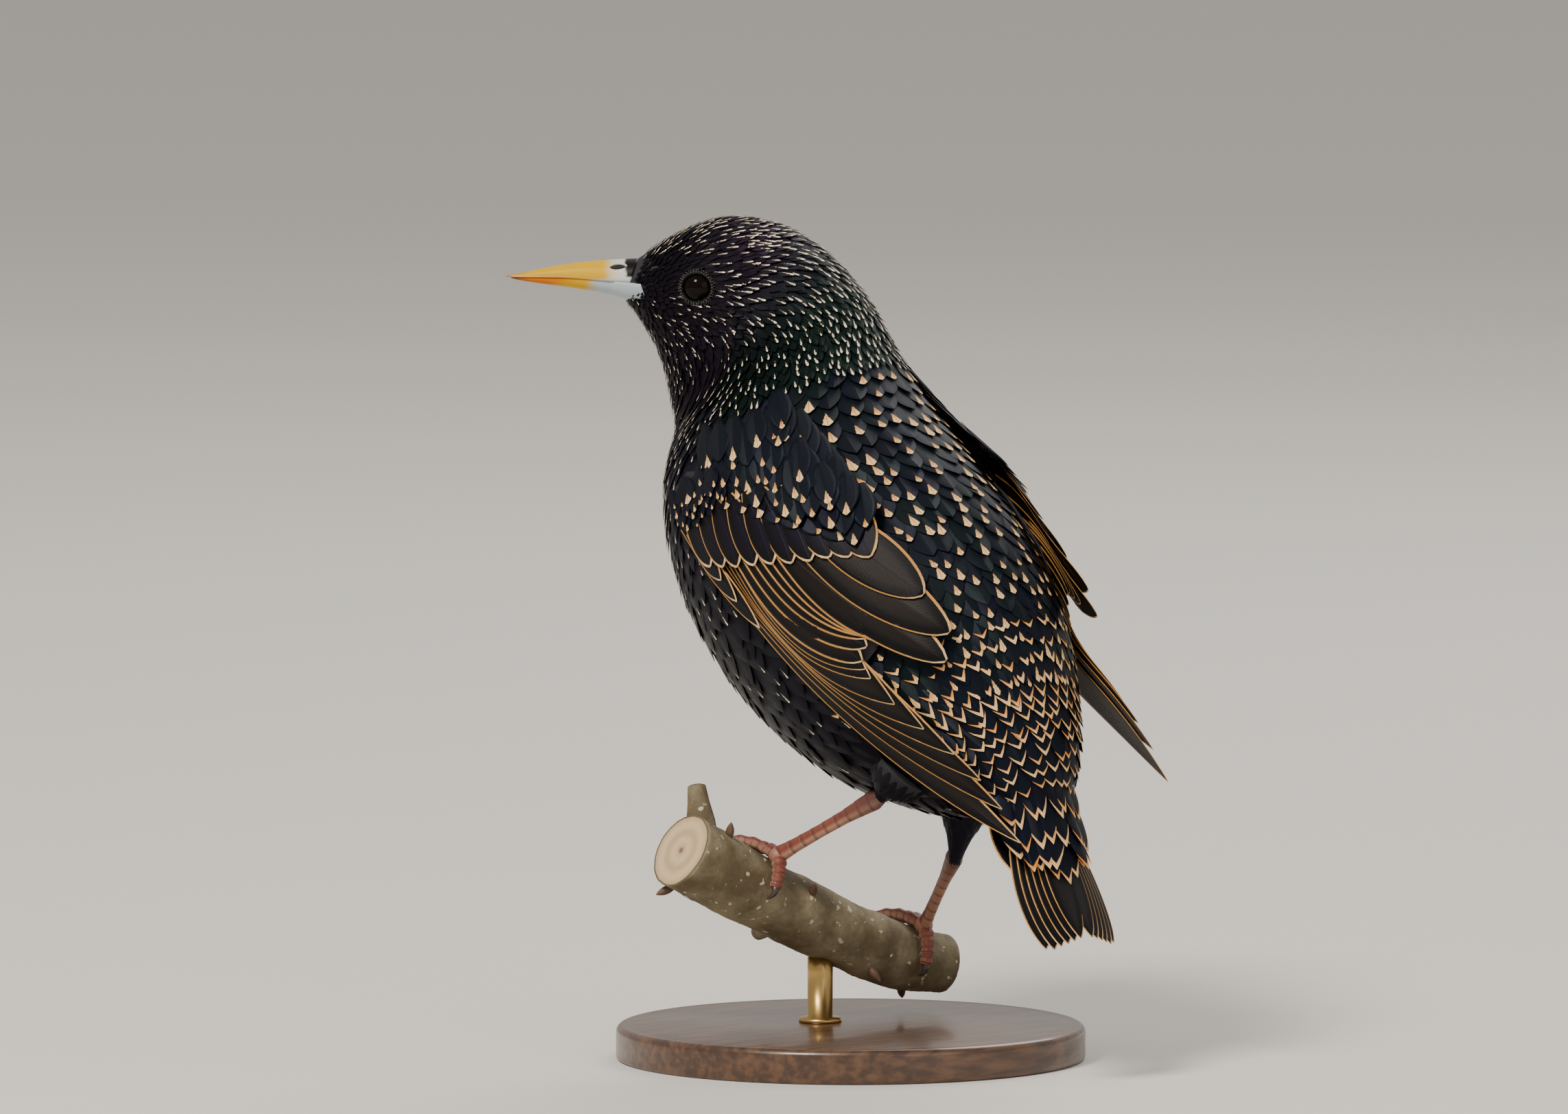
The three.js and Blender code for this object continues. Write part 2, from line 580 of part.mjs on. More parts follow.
LEGS.forEach((leg) => {
  const ankle = new THREE.Vector3(...leg.ankle).setZ(leg.ankle[2] + FLOOR_LIFT);
  const top = new THREE.Vector3(...leg.top).setZ(leg.top[2] + FLOOR_LIFT);
  const joint = perchPoint(leg.x, -38, leg.lift);
  const shank = [0, 0.3, 0.6, 0.85, 1].map((share) => top.clone().lerp(ankle, share));
  const grown = joined([
    tube(shank, [leg.topRadius, leg.topRadius * 0.9, leg.topRadius * 0.62, 2.6, 1.6], 12),
  ]);
  addNode(`thigh_${leg.side}`, geometryOf(grown.subtract(grownBody)), 0x17161b, 0.6);
  const tarsus = [0.04, 0.12, 0.3, 0.55, 0.8, 0.93].map((share) => ankle.clone().lerp(joint, share));
  const shin = solidOf(tube(tarsus, [1.6, 1.85, 1.5, 1.35, 1.4, 1.5], 10)).subtract(grownBody);
  addNode(`tarsus_${leg.side}`, geometryOf(shin), 0xb8604f, 0.5);
  const toes = TOES.map((toe) => {
    const line = toeLine(leg, toe, 0, 0.84, toe.radius, toe.radius * 0.72, TOE_STEPS, () => 0);
    return tube(line.points, line.radii, 7, 1, new THREE.Vector3(1, 0, 0));
  });
  const palm = ballAt(perchPoint(leg.x, -38, 2.1), 1.7, 10, 8);
  addNode(`foot_${leg.side}`, geometryOf(joined([...toes, palm])), 0xc07a68, 0.5);
  TOES.forEach((toe) => {
    const line = toeLine(leg, toe, 0.87, 1.22, toe.radius * 0.62, 0.16, 5, (share) => share * 0.2);
    const claw = tube(line.points, line.radii, 6, 1, new THREE.Vector3(1, 0, 0));
    addNode(`claw_${leg.side}_${toe.name}`, claw, 0x2b211d, 0.35);
  });
});

const twigStubs = [
  { from: perchPoint(32, 15, -5), to: perchPoint(35, 22, 8), radii: [2.4, 1.9] },
  { from: perchPoint(9, 112, -5), to: perchPoint(6.5, 108, 6.5), radii: [2.1, 1.6] },
].map(({ from, to, radii }) => tube([from, from.clone().lerp(to, 0.5), to], [radii[0], ...radii], 10));
addNode("perch", geometryOf(joined([perchBody(0), ...twigStubs])), 0x8a7d5c, 0.8);
const BASE = { radius: 48, thick: 7, edge: 1.2 };
const BASE_PROFILE = [
  [0, 0],
  [BASE.radius - BASE.edge, 0],
  [BASE.radius, BASE.edge],
  [BASE.radius, BASE.thick - BASE.edge],
  [BASE.radius - BASE.edge, BASE.thick],
  [0, BASE.thick],
].map(([x, y]) => new THREE.Vector2(x, y));
addNode("stand_base", new THREE.LatheGeometry(BASE_PROFILE, 40).rotateX(Math.PI / 2), 0x5a3a22, 0.4);
const ROD = { radius: 2.6, x: 2, y: -7 };
const rod = new THREE.CylinderGeometry(ROD.radius, ROD.radius, 30, 20).rotateX(Math.PI / 2);
rod.translate(ROD.x, ROD.y, BASE.thick + SEAM_GAP + 15);
const perchGrown = solidOf(perchBody(SEAM_GAP));
addNode("stand_rod", geometryOf(solidOf(rod).subtract(perchGrown)), 0xb08d4a, 0.3, 1);

export default group;
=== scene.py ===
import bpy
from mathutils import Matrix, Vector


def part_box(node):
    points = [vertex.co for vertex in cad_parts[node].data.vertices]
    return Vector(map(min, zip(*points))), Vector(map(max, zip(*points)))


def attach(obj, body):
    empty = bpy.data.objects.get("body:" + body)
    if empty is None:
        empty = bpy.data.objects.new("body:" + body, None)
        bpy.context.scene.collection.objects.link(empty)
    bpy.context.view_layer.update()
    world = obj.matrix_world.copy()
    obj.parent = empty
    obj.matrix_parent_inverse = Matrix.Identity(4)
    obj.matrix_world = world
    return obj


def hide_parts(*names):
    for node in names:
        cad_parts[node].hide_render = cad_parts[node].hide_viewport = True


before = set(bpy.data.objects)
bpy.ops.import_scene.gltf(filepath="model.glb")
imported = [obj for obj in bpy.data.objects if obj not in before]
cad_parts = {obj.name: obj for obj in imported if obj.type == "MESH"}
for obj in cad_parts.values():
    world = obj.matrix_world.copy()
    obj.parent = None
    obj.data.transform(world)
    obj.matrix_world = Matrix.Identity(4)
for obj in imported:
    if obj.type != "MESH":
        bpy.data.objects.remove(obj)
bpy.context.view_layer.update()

import math
from itertools import product

import bpy
import numpy as np
from mathutils import Vector
from mathutils.bvhtree import BVHTree

# Skin: the bird under its feathers, one smooth form from the tail's root over back and neck to
# the bill, with the head turned to the bird's left. It is laid through cross-sections from tail
# to bill and lies inside the coat by the feathers' depth.
MM = 0.001
FULL_TURN = 2 * np.pi
# How far the stand raises the heights given here, in millimetres.
LIFT = 11.5
# A row holds the section's turn in degrees, its back point and its belly point (behind the neck's
# axis and up, in millimetres), half its width, and how far up from the belly it is widest.
SECTIONS = np.array([
    [0, 87.5, 47, 77.5, 42.5, 9, 0.5],
    [0, 88, 53.5, 71, 41.5, 12.5, 0.55],
    [0, 86.5, 64, 61, 40, 17, 0.55],
    [0, 82.5, 77, 38, 43.5, 24, 0.53],
    [0, 78, 88, 22, 50, 28, 0.5],
    [0, 70, 99, 7, 60, 30, 0.48],
    [0, 60, 109, -5, 73, 30.5, 0.46],
    [0, 49, 118, -12.5, 88, 29.5, 0.45],
    [3, 39, 126, -15.5, 101, 27, 0.46],
    [12, 31, 134, -16, 110, 23.5, 0.48],
    [26, 25, 142.5, -16, 116, 19.5, 0.5],
    [40, 18, 150.5, -16.4, 120, 16.5, 0.52],
    [46, 10.5, 156.3, -16.8, 123.5, 14.2, 0.55],
    [47, 3, 159.2, -17.6, 127.5, 12.6, 0.58],
    [47, -4.5, 159.8, -18.9, 131.4, 11.3, 0.6],
    [47, -11, 158.4, -20.9, 135.4, 9.7, 0.58],
    [47, -17.8, 155, -23.6, 139.7, 7.2, 0.54],
    [47, -23.4, 151.5, -26.7, 142.8, 4.4, 0.5],
])
HEAD_TURN = math.radians(47)
# The neck's axis, across and behind; it moves across only as far as a section is turned.
PIVOT = np.array([2.0, -28.0])


def unit(vectors):
    return vectors / (np.linalg.norm(vectors, axis=-1, keepdims=True) + 1e-9)


def section_lines():
    """For each section its back point, its belly point, then half its width, widest place and turn."""
    turn = np.radians(SECTIONS[:, 0])
    pivot = PIVOT[0] * turn / HEAD_TURN
    lines = []
    for column in (1, 3):
        behind, height = SECTIONS[:, column], SECTIONS[:, column + 1]
        across, back = pivot - np.sin(turn) * behind, PIVOT[1] + np.cos(turn) * behind
        lines.append(np.stack([across, back, height + LIFT], 1))
    lines.append(np.stack([SECTIONS[:, 5], SECTIONS[:, 6], turn], 1))
    return np.concatenate(lines, 1)


KEYS = section_lines()
KEYS = np.concatenate([[2 * KEYS[0] - KEYS[1]], KEYS, [2 * KEYS[-1] - KEYS[-2]]])


def section_at(along):
    """A smooth curve through the sections, from 0 at the tail to 1 at the bill."""
    place = np.clip(along, 0, 1) * (len(SECTIONS) - 1)
    index = np.minimum(place.astype(int), len(SECTIONS) - 2)
    t = (place - index)[..., None]
    a, b, c, d = (KEYS[index + step] for step in range(4))
    square, cube = 2 * a - 5 * b + 4 * c - d, 3 * b - a - 3 * c + d
    return 0.5 * (2 * b + (c - a) * t + square * t * t + cube * t ** 3)


def body_raw(along, angle):
    """A point of the coat's outer surface; the angle turns from the back toward the left side."""
    value = section_at(along)
    back, belly = value[..., :3], value[..., 3:6]
    half, wide, turn = value[..., 6], value[..., 7], value[..., 8]
    rise = np.cos(angle)
    share = wide + np.where(rise > 0, (1 - wide) * rise, wide * rise)
    side = np.stack([np.cos(turn), np.sin(turn), np.zeros_like(turn)], -1)
    return belly + (back - belly) * share[..., None] + side * (half * np.sin(angle))[..., None]


def body_at(along, angle, height=0.0):
    """Points on the coat's outer surface, moved out by height, with the way out there."""
    along, angle = np.broadcast_arrays(np.asarray(along, float), np.asarray(angle, float))
    step, small_turn = 0.004, 0.01
    inner = np.clip(along, step, 1 - step)
    way_along = (body_raw(inner + step, angle) - body_raw(inner - step, angle)) / (2 * step)
    way_round = (body_raw(inner, angle + small_turn) - body_raw(inner, angle - small_turn)) / (2 * small_turn)
    normal = unit(np.cross(way_along, way_round))
    value = section_at(inner)
    middle = value[..., 3:6] + (value[..., :3] - value[..., 3:6]) * value[..., 7:8]
    point = body_raw(np.clip(along, 0, 1), angle)
    normal = normal * np.sign(((point - middle) * normal).sum(-1, keepdims=True))
    beyond = along - np.clip(along, 0, 1)
    point = point + way_along * beyond[..., None]
    return point + normal * np.asarray(height)[..., None], normal, way_along, way_round


def joined_mesh(name, points, faces, look):
    """One smooth mesh from points in millimetres, riding on the bird's only body."""
    mesh = bpy.data.meshes.new(name)
    faces = faces.tolist() if isinstance(faces, np.ndarray) else faces
    mesh.from_pydata((np.asarray(points, float).reshape(-1, 3) * MM).tolist(), [], faces)
    mesh.shade_smooth()
    piece = bpy.data.objects.new(name, mesh)
    bpy.context.collection.objects.link(piece)
    mesh.materials.append(look)
    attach(piece, "root")
    return piece


def grid_faces(rows, columns, start=0, wrap=False):
    r = np.arange(rows - 1)[:, None]
    c = np.arange(columns if wrap else columns - 1)[None, :]
    n = (c + 1) % columns
    quads = np.stack([r * columns + c, r * columns + n, (r + 1) * columns + n, (r + 1) * columns + c], -1)
    return quads.reshape(-1, 4) + start


class Socket:
    """A shader value that adds, multiplies and mixes by plain operators."""

    def __init__(self, tree, value):
        self.tree, self.value = tree, value

    def node(self, kind, settings=None, **inputs):
        made = self.tree.nodes.new(kind)
        for key, value in (settings or {}).items():
            setattr(made, key, value)
        for key, value in inputs.items():
            self.link(value, made.inputs[key.replace("_", " ")])
        return made

    def link(self, value, socket):
        value = value.value if isinstance(value, Socket) else value
        if isinstance(value, bpy.types.NodeSocket):
            self.tree.links.new(value, socket)
        else:
            socket.default_value = value

    def of(self, value):
        return Socket(self.tree, value)

    def maths(self, kind, *values):
        made = self.node("ShaderNodeMath", {"operation": kind})
        for place, value in enumerate(values):
            self.link(value, made.inputs[place])
        return self.of(made.outputs[0])

    def __add__(self, other):
        return self.maths("ADD", self, other)

    def __radd__(self, other):
        return self.maths("ADD", other, self)

    def __sub__(self, other):
        return self.maths("SUBTRACT", self, other)

    def __rsub__(self, other):
        return self.maths("SUBTRACT", other, self)

    def __mul__(self, other):
        return self.maths("MULTIPLY", self, other)

    def __rmul__(self, other):
        return self.maths("MULTIPLY", other, self)

    def __truediv__(self, other):
        return self.maths("DIVIDE", self, other)

    def abs(self):
        return self.maths("ABSOLUTE", self)

    def sin(self):
        return self.maths("SINE", self)

    def least(self, other):
        return self.maths("MINIMUM", self, other)

    def most(self, other):
        return self.maths("MAXIMUM", self, other)

    def ramp(self, low, high):
        """0 below low, 1 above high and smooth between them."""
        smooth = {"interpolation_type": "SMOOTHSTEP"}
        made = self.node("ShaderNodeMapRange", smooth, Value=self, From_Min=low, From_Max=high)
        return self.of(made.outputs["Result"])

    def mix(self, first, second):
        """The first colour where this value is 0, the second where it is 1."""
        made = self.node("ShaderNodeMix", {"data_type": "RGBA"})
        self.link(self, made.inputs[0])
        for value, socket in ((first, made.inputs[6]), (second, made.inputs[7])):
            self.link((*value, 1.0) if isinstance(value, tuple) else value, socket)
        return self.of(made.outputs[2])

    def attribute(self, name, output="Fac"):
        return self.of(self.node("ShaderNodeAttribute", {"attribute_name": name}).outputs[output])

    def parts(self):
        made = self.node("ShaderNodeSeparateXYZ", Vector=self)
        return [self.of(made.outputs[place]) for place in range(3)]

    def noise(self, scale, detail, vector):
        made = self.node("ShaderNodeTexNoise", Scale=scale, Detail=detail, Vector=vector)
        return self.of(made.outputs[0])

    def place(self):
        return self.of(self.node("ShaderNodeTexCoord").outputs["Object"])

    def bump(self, height, strength, distance):
        made = self.node("ShaderNodeBump", Strength=strength, Distance=distance, Height=height)
        return self.of(made.outputs["Normal"])


def material(name, build=None, **fixed):
    """A material whose varying values come from build and whose other values are fixed."""
    made = bpy.data.materials.new(name)
    made.use_nodes = True
    shader = made.node_tree.nodes["Principled BSDF"]
    for key, value in fixed.items():
        shader.inputs[key.replace("_", " ")].default_value = value
    if build:
        start = Socket(made.node_tree, None)
        for key, value in build(start).items():
            start.link(value, shader.inputs[key.replace("_", " ")])
    return made


def clouded(scale, detail, dark, pale):
    """A look of two colours mixed by a soft noise."""
    return lambda s: {"Base_Color": s.noise(scale, detail, s.place()).mix(dark, pale)}


skin_look = clouded(90.0, 2.0, (0.006, 0.006, 0.009), (0.014, 0.012, 0.018))
skin_material = material("skin", skin_look, Roughness=0.7)
ALONG_STEPS, AROUND_STEPS = 150, 96
DEPTH_ON_BODY, DEPTH_ON_HEAD = 1.5, 0.6
grid_along, grid_angle = np.meshgrid(np.linspace(0, 1, ALONG_STEPS),
                                     np.linspace(0, FULL_TURN, AROUND_STEPS, endpoint=False), indexing="ij")
coat_depth = DEPTH_ON_BODY - (DEPTH_ON_BODY - DEPTH_ON_HEAD) * np.clip((grid_along - 0.6) / 0.3, 0, 1)
skin_points = body_at(grid_along, grid_angle, -coat_depth)[0].reshape(-1, 3)
skin_faces = grid_faces(ALONG_STEPS, AROUND_STEPS, wrap=True).tolist()
skin_faces.append(list(range(AROUND_STEPS)))
skin_faces.append([(ALONG_STEPS - 1) * AROUND_STEPS + side for side in range(AROUND_STEPS)][::-1])
skin = joined_mesh("skin", skin_points, skin_faces, skin_material)
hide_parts("torso", "neck", "head")

# Body coat: the contour feathers, each a thin curved vane lying over the next toward the tail.
# The markings are told by places on each vane in millimetres: across from the shaft, up from
# the tip and in from the rim. Spots are buff hearts on the back, chevrons on the rump.
rng = np.random.default_rng(11)


def outline(down, point):
    """Half width of a vane as a share of its widest, from root 0 to tip 1; point sharpens the tip."""
    root = 0.30 + 0.70 * np.sin(np.clip(down / 0.55, 0, 1) * np.pi / 2)
    tip = np.clip((1 - down) / 0.45, 0, 1)
    return root * np.where(down < 0.55, 1.0, (1 - (1 - tip) ** 2) ** (0.5 + 0.5 * point))


def vane_grid(columns, rows, point):
    """A vane's grid: across from -1 to 1, down from 0 to 1, its outline there and that one's slope."""
    down = np.linspace(0, 1, rows) ** 0.85
    down[-1] = 0.995
    grid_down, grid_across = np.meshgrid(down, np.linspace(-1, 1, columns), indexing="ij")
    fine = np.linspace(0, 1, 400)
    slope = np.gradient(outline(fine, point), fine[1])
    return grid_across, grid_down, outline(grid_down, point), np.interp(grid_down, fine, slope)


def rim_distance(x, shape, slope, half, length):
    """How far a point of a vane lies in from its outline, square to the outline."""
    return (shape * half - np.abs(x)) / np.sqrt(1 + (slope * half / length) ** 2)


def per_vane(values, count):
    """One value for each vane, shaped to spread over the vane's grid of points."""
    return np.broadcast_to(values, count)[:, None, None]


def many(faces, count, each):
    """The same faces for count vanes of so many points each."""
    return (faces[None] + np.arange(count)[:, None, None] * each).reshape(-1, 4)


def fill_attribute(piece, name, values, kind="FLOAT_VECTOR", key="vector"):
    layer = piece.data.attributes.new(name, kind, "POINT")
    layer.data.foreach_set(key, np.ascontiguousarray(values, dtype=np.float32).ravel())


def mark_vanes(piece, place, mark, tint, count):
    """Each point's place on its vane, and each vane's markings, tint and one random number."""
    each = place.size // 3 // count
    colour = np.insert(np.broadcast_to(tint, (count, 3)), 3, 1.0, axis=1)
    fill_attribute(piece, "place", place)
    fill_attribute(piece, "mark", np.repeat(np.broadcast_to(mark, (count, 3)), each, 0))
    fill_attribute(piece, "tint", np.repeat(colour, each, 0), "FLOAT_COLOR", "color")
    fill_attribute(piece, "seed", np.repeat(rng.random(count), each), "FLOAT", "value")


def patch(across, down):
    """A vane's own small patch of the bake map, about its root's place."""
    return 0.003 * np.stack([across * 0.5, down - 0.5], -1)


def bake_patches(piece, spots):
    layer = piece.data.uv_layers.new(name="OFBake")
    corners = np.empty(len(piece.data.loops), dtype=np.int32)
    piece.data.loops.foreach_get("vertex_index", corners)
    layer.data.foreach_set("uv", spots.reshape(-1, 2)[corners].astype(np.float32).ravel())


# The way the coat hangs on past the end of the body, and the way in from there.
TAILWARD, INWARD = np.array([0, 0.47, -0.88]), 0.20 * np.array([0, 0.88, 0.47])


def coat(name, look, along, angle, length, width, mark, tint, columns=5, rows=8, point=0.5,
         lift=(-1.2, 0.2), swing=0.0):
    """Vanes rooted at places along and round the body, lying toward the tail."""
    count = len(along)
    across, down, shape, slope = vane_grid(columns, rows, point)
    _, _, way_along, way_round = body_at(along, angle)
    per_along = per_vane(np.linalg.norm(way_along, axis=-1), count)
    per_round = per_vane(np.linalg.norm(way_round, axis=-1), count)
    length, half = per_vane(length, count), per_vane(width, count) / 2
    x, y = across * shape * half, down * length
    bend = rng.normal(0, 0.09, count) + swing
    to_along = per_vane(along, count) - y / per_along
    to_angle = per_vane(angle, count) + (x + y * per_vane(np.sin(bend), count)) / per_round
    rise = lift[0] + (lift[1] - lift[0]) * down ** 1.1 + per_vane(rng.normal(0, 0.06, count), count) * down
    rise = rise - 0.07 * half * across ** 2 * shape
    points = body_at(np.maximum(to_along, 0), to_angle, rise)[0]
    past = (np.maximum(-to_along, 0) * per_along)[..., None]
    points = points + past * (TAILWARD - INWARD * np.cos(to_angle)[..., None])
    piece = joined_mesh(name, points, many(grid_faces(rows, columns), count, rows * columns), look)
    rim = rim_distance(x, shape, slope, half, length)
    place = np.stack([x, (1 - down) * length, rim], -1)
    mark_vanes(piece, place, mark, tint, count)
    root = np.stack([angle % FULL_TURN / FULL_TURN, along], -1)
    bake_patches(piece, root[:, None, None] + patch(across, down))


def plumage_look(spot_colours, gloss):
    def build(s):
        x, y, rim = s.attribute("place", "Vector").parts()
        wide, long, edge = s.attribute("mark", "Vector").parts()
        seed = s.attribute("seed")
        tint = s.attribute("tint", "Color")
        side = x.abs()
        wide, long = wide * (seed * 0.45 + 0.75), long * (seed * 0.6 + 0.7)
        ragged = s.noise(2600.0, 2.0, s.place()) * 0.5 - 0.25
        reach = wide * (1.12 - y / (long + 0.01)) + ragged * 0.9
        cleft = (0.10 - side).ramp(0.0, 0.06) * (wide - 0.3).ramp(0.0, 0.2) * 0.6
        heart = (reach - side).ramp(-0.07, 0.07) * (1 - cleft) * (wide - 0.02).ramp(0.0, 0.02)
        edged = (edge - 0.02).ramp(0.0, 0.02)
        band = edge * (1.25 - y / (wide * 1.5 + 0.01)) + ragged * 0.4
        chevron = (band - rim).ramp(-0.09, 0.09) * edged
        spot = (heart * (1 - edged)).most(chevron)
        pale = (y / (long * 0.8 + 0.2)).ramp(0.0, 1.0).mix(spot_colours[0], spot_colours[1])
        pale = (seed * 0.6).mix(pale, spot_colours[2])
        barb = ((y + side * 1.6) * 24.0).sin() * 0.5 + 0.5
        shade = barb * 0.35 + (side / 1.5).ramp(0.0, 0.12) * -0.25 + 0.25 + seed * 0.3
        dark = shade.mix(tint, (0.004, 0.004, 0.006))
        return {
            "Base_Color": spot.mix(dark, pale),
            "Metallic": (1 - spot) * gloss,
            "Roughness": spot * 0.3 + seed * 0.12 + 0.34,
            "Normal": s.bump(barb + (0.2 - side).ramp(0.0, 0.2), 0.35, 0.0001),
        }
    return build


def arc_length(line, power=1.0):
    """The distance from the first point of a line to each of its points."""
    return np.concatenate([[0], np.cumsum(np.linalg.norm(np.diff(line, axis=0), axis=1) ** power)])


def lattice(along_from, along_to, row_step, feather_step, keep):
    """Rows of feather roots a set distance apart along the body, each row shifted by half a step."""
    places = np.linspace(along_from, along_to, 800)
    flank = 1.2
    arc = arc_length(body_raw(places, np.full(len(places), flank)))
    turns = np.linspace(0, FULL_TURN, 181)
    all_along, all_angle = [], []
    for row, distance in enumerate(np.arange(0, arc[-1], row_step)):
        along = np.interp(distance, arc, places)
        around = arc_length(body_raw(np.full(len(turns), along), turns))
        count = int(around[-1] / feather_step)
        wanted = (np.arange(count) + 0.5 * (row % 2)) / count * around[-1]
        all_angle.append(np.interp(wanted, around, turns))
        all_along.append(np.full(count, along))
    along, angle = np.concatenate(all_along), np.concatenate(all_angle)
    along = along + rng.normal(0, 0.0022, len(along))
    angle = angle + rng.normal(0, 0.012, len(angle))
    chosen = keep(along, angle)
    return along[chosen], angle[chosen]


def crowded(taken, key, point, place, gap):
    """Whether a root already stands nearer than the gap, in this cell or the ones about it."""
    for dx, dy, dz in product((-1, 0, 1), repeat=3):
        for other in taken.get((key[0] + dx, key[1] + dy, key[2] + dz), ()):
            if ((point[other] - place) ** 2).sum() < gap * gap:
                return True
    return False


def scatter(along_from, along_to, tries, spacing, keep):
    """Roots thrown at random that keep their distance, evenly over the surface."""
    along = rng.uniform(along_from, along_to, tries)
    angle = rng.uniform(0, FULL_TURN, tries)
    point, _, way_along, way_round = body_at(along, angle)
    area = np.linalg.norm(np.cross(way_along, way_round), axis=-1)
    use = (rng.random(tries) < area / area.max()) & keep(along, angle)
    along, angle, point = along[use], angle[use], point[use]
    gaps = np.broadcast_to(spacing(along), len(along))
    cell = float(gaps.max())
    taken, chosen = {}, []
    for index, (place, gap) in enumerate(zip(point, gaps)):
        key = tuple((place // cell).astype(int))
        if not crowded(taken, key, point, place, gap):
            taken.setdefault(key, []).append(index)
            chosen.append(index)
    return along[chosen], angle[chosen]


def mixed(first, second, share):
    """Colours or points on the way from the first to the second, one for each share."""
    return np.asarray(first)[None] * (1 - share)[:, None] + np.asarray(second)[None] * share[:, None]


def marks(wide, long, edge=0.0):
    """A spot's half width and length on each vane, and the width of a pale edge."""
    return np.stack(np.broadcast_arrays(wide, long, edge), -1)


BUFF = [(0.90, 0.60, 0.27), (0.70, 0.24, 0.035), (0.92, 0.66, 0.34)]
WHITE = [(0.82, 0.71, 0.53), (0.62, 0.47, 0.30), (0.88, 0.81, 0.70)]
NAVY, GREEN = (0.003, 0.005, 0.016), (0.004, 0.015, 0.012)
PURPLE, BLACK = (0.020, 0.007, 0.027), (0.004, 0.003, 0.005)
back_material = material("feathers_back", plumage_look(BUFF, 0.35), Specular_IOR_Level=0.15)
front_material = material("feathers_front", plumage_look(WHITE, 0.18), Specular_IOR_Level=0.08)

# Rump and upper tail coverts: rows like scales, each with a buff chevron along its tip, growing
# longer toward the tail.
along, angle = lattice(0.0, 0.25, 3.2, 4.3, lambda a, g: np.cos(g) > -0.15)
share = np.clip(along / 0.24, 0, 1)
coat("coat_rump", back_material, along, angle, 15 - 5 * share, 6.6 - 1.6 * share,
     marks(2.2 - 0.8 * share, 1.6, 0.98 - 0.14 * share), mixed(NAVY, GREEN, 0.4 * share),
     point=1.0, rows=10, columns=7, lift=(-1.4, 0.25))

# Belly and flanks: long loose feathers in rows down to the thighs, black with a little blue and
# purple. Few have a white mark, and more of them toward the breast.
along, angle = lattice(0.0, 0.44, 4.2, 4.4, lambda a, g: np.cos(g) < 0.05)
marked = rng.random(len(along)) < 0.16 + 0.3 * (along > 0.3)
coat("coat_belly", front_material, along, angle, 15.0, 7.4,
     marks(0.20 * marked, 1.2 + rng.random(len(along))),
     mixed(NAVY, PURPLE, rng.random(len(along)) * 0.4) * 0.4,
     point=1.0, rows=9, lift=(-1.1, 0.0))

# Mantle: rounded feathers in rows between the wings, black with blue and green gloss. Most have a
# heart of orange buff at the tip.
along, angle = lattice(0.20, 0.545, 3.6, 4.5, lambda a, g: np.cos(g) > -0.05)
share = np.clip((along - 0.2) / 0.3, 0, 1)
marked = rng.random(len(along)) < 0.72
coat("coat_mantle", back_material, along, angle, 11.5 - 3 * share, 6.0 - 0.6 * share,
     marks((0.80 + 0.30 * share) * marked, 2.2 + 0.5 * share),
     mixed(NAVY, GREEN, rng.random(len(along)) * 0.7),
     point=0.75, rows=10, columns=7, lift=(-0.9, 0.15))

# Breast: narrow pointed feathers in close rows, black with a little purple. More than half have a
# small white tip.
along, angle = lattice(0.40, 0.60, 2.6, 3.0, lambda a, g: np.cos(g) < 0.1)
coat("coat_breast", front_material, along, angle, 9.0, 3.6,
     marks(0.24 * (rng.random(len(along)) < 0.6), 1.2),
     mixed(NAVY, PURPLE, rng.random(len(along)) * 0.5) * 0.8,
     point=1.3, rows=8)

# Hind neck: short pointed feathers set densely, green low on the neck and purple above, their tips
# swept toward the back, their tint painted brighter toward the top of the neck as sheen. Many have a pale
# tip.
along, angle = scatter(0.53, 0.80, 90000, lambda a: 1.45, lambda a, g: np.cos(g) > -0.35 - 1.5 * (0.66 - a))
upper = np.cos(angle) * 0.5 + 0.5
marked = rng.random(len(along)) < 0.42 + 0.34 * upper
# Green and purple are the gloss colours; painted sheen makes the tint several times brighter toward the top
# of the neck.
gloss = mixed(PURPLE, GREEN, np.clip(1.6 - 6 * (along - 0.53), 0, 1)) * (0.35 + 0.9 * upper[:, None] ** 2)
coat("coat_nape", front_material, along, angle, 6.6 - 3.2 * np.clip((along - 0.55) / 0.25, 0, 1), 2.1,
     marks((0.13 + 0.10 * upper + 0.06 * (along < 0.6)) * marked, 1.4 + 0.5 * upper), gloss,
     columns=3, rows=6, point=1.1, lift=(-0.9, 0.2),
     swing=-0.75 * np.sin(angle) * np.clip((along - 0.50) / 0.08, 0, 1))

# Throat: long pointed hackles, shorter toward the bill, black with a little purple. Under half of
# them have a small white tip.
along, angle = scatter(0.52, 0.86, 120000, lambda a: 1.25 + 0.2 * (a < 0.66),
                       lambda a, g: np.cos(g) < -0.30 - 1.5 * (0.66 - a).clip(-0.1, 0.2))
front = np.clip((0.86 - along) / 0.3, 0, 1)
marked = rng.random(len(along)) < 0.36 + 0.12 * front
coat("coat_throat", front_material, along, angle, 3.4 + 4.6 * front, 1.2 + 0.8 * front,
     marks((0.09 + 0.09 * front) * marked, 0.9 + 0.7 * front),
     mixed(BLACK, PURPLE, rng.random(len(along)) * 0.35),
     columns=3, rows=7, point=1.6, lift=(-0.8, 0.25),
     swing=-0.45 * np.sin(angle) * np.clip((along - 0.54) / 0.08, 0, 1))
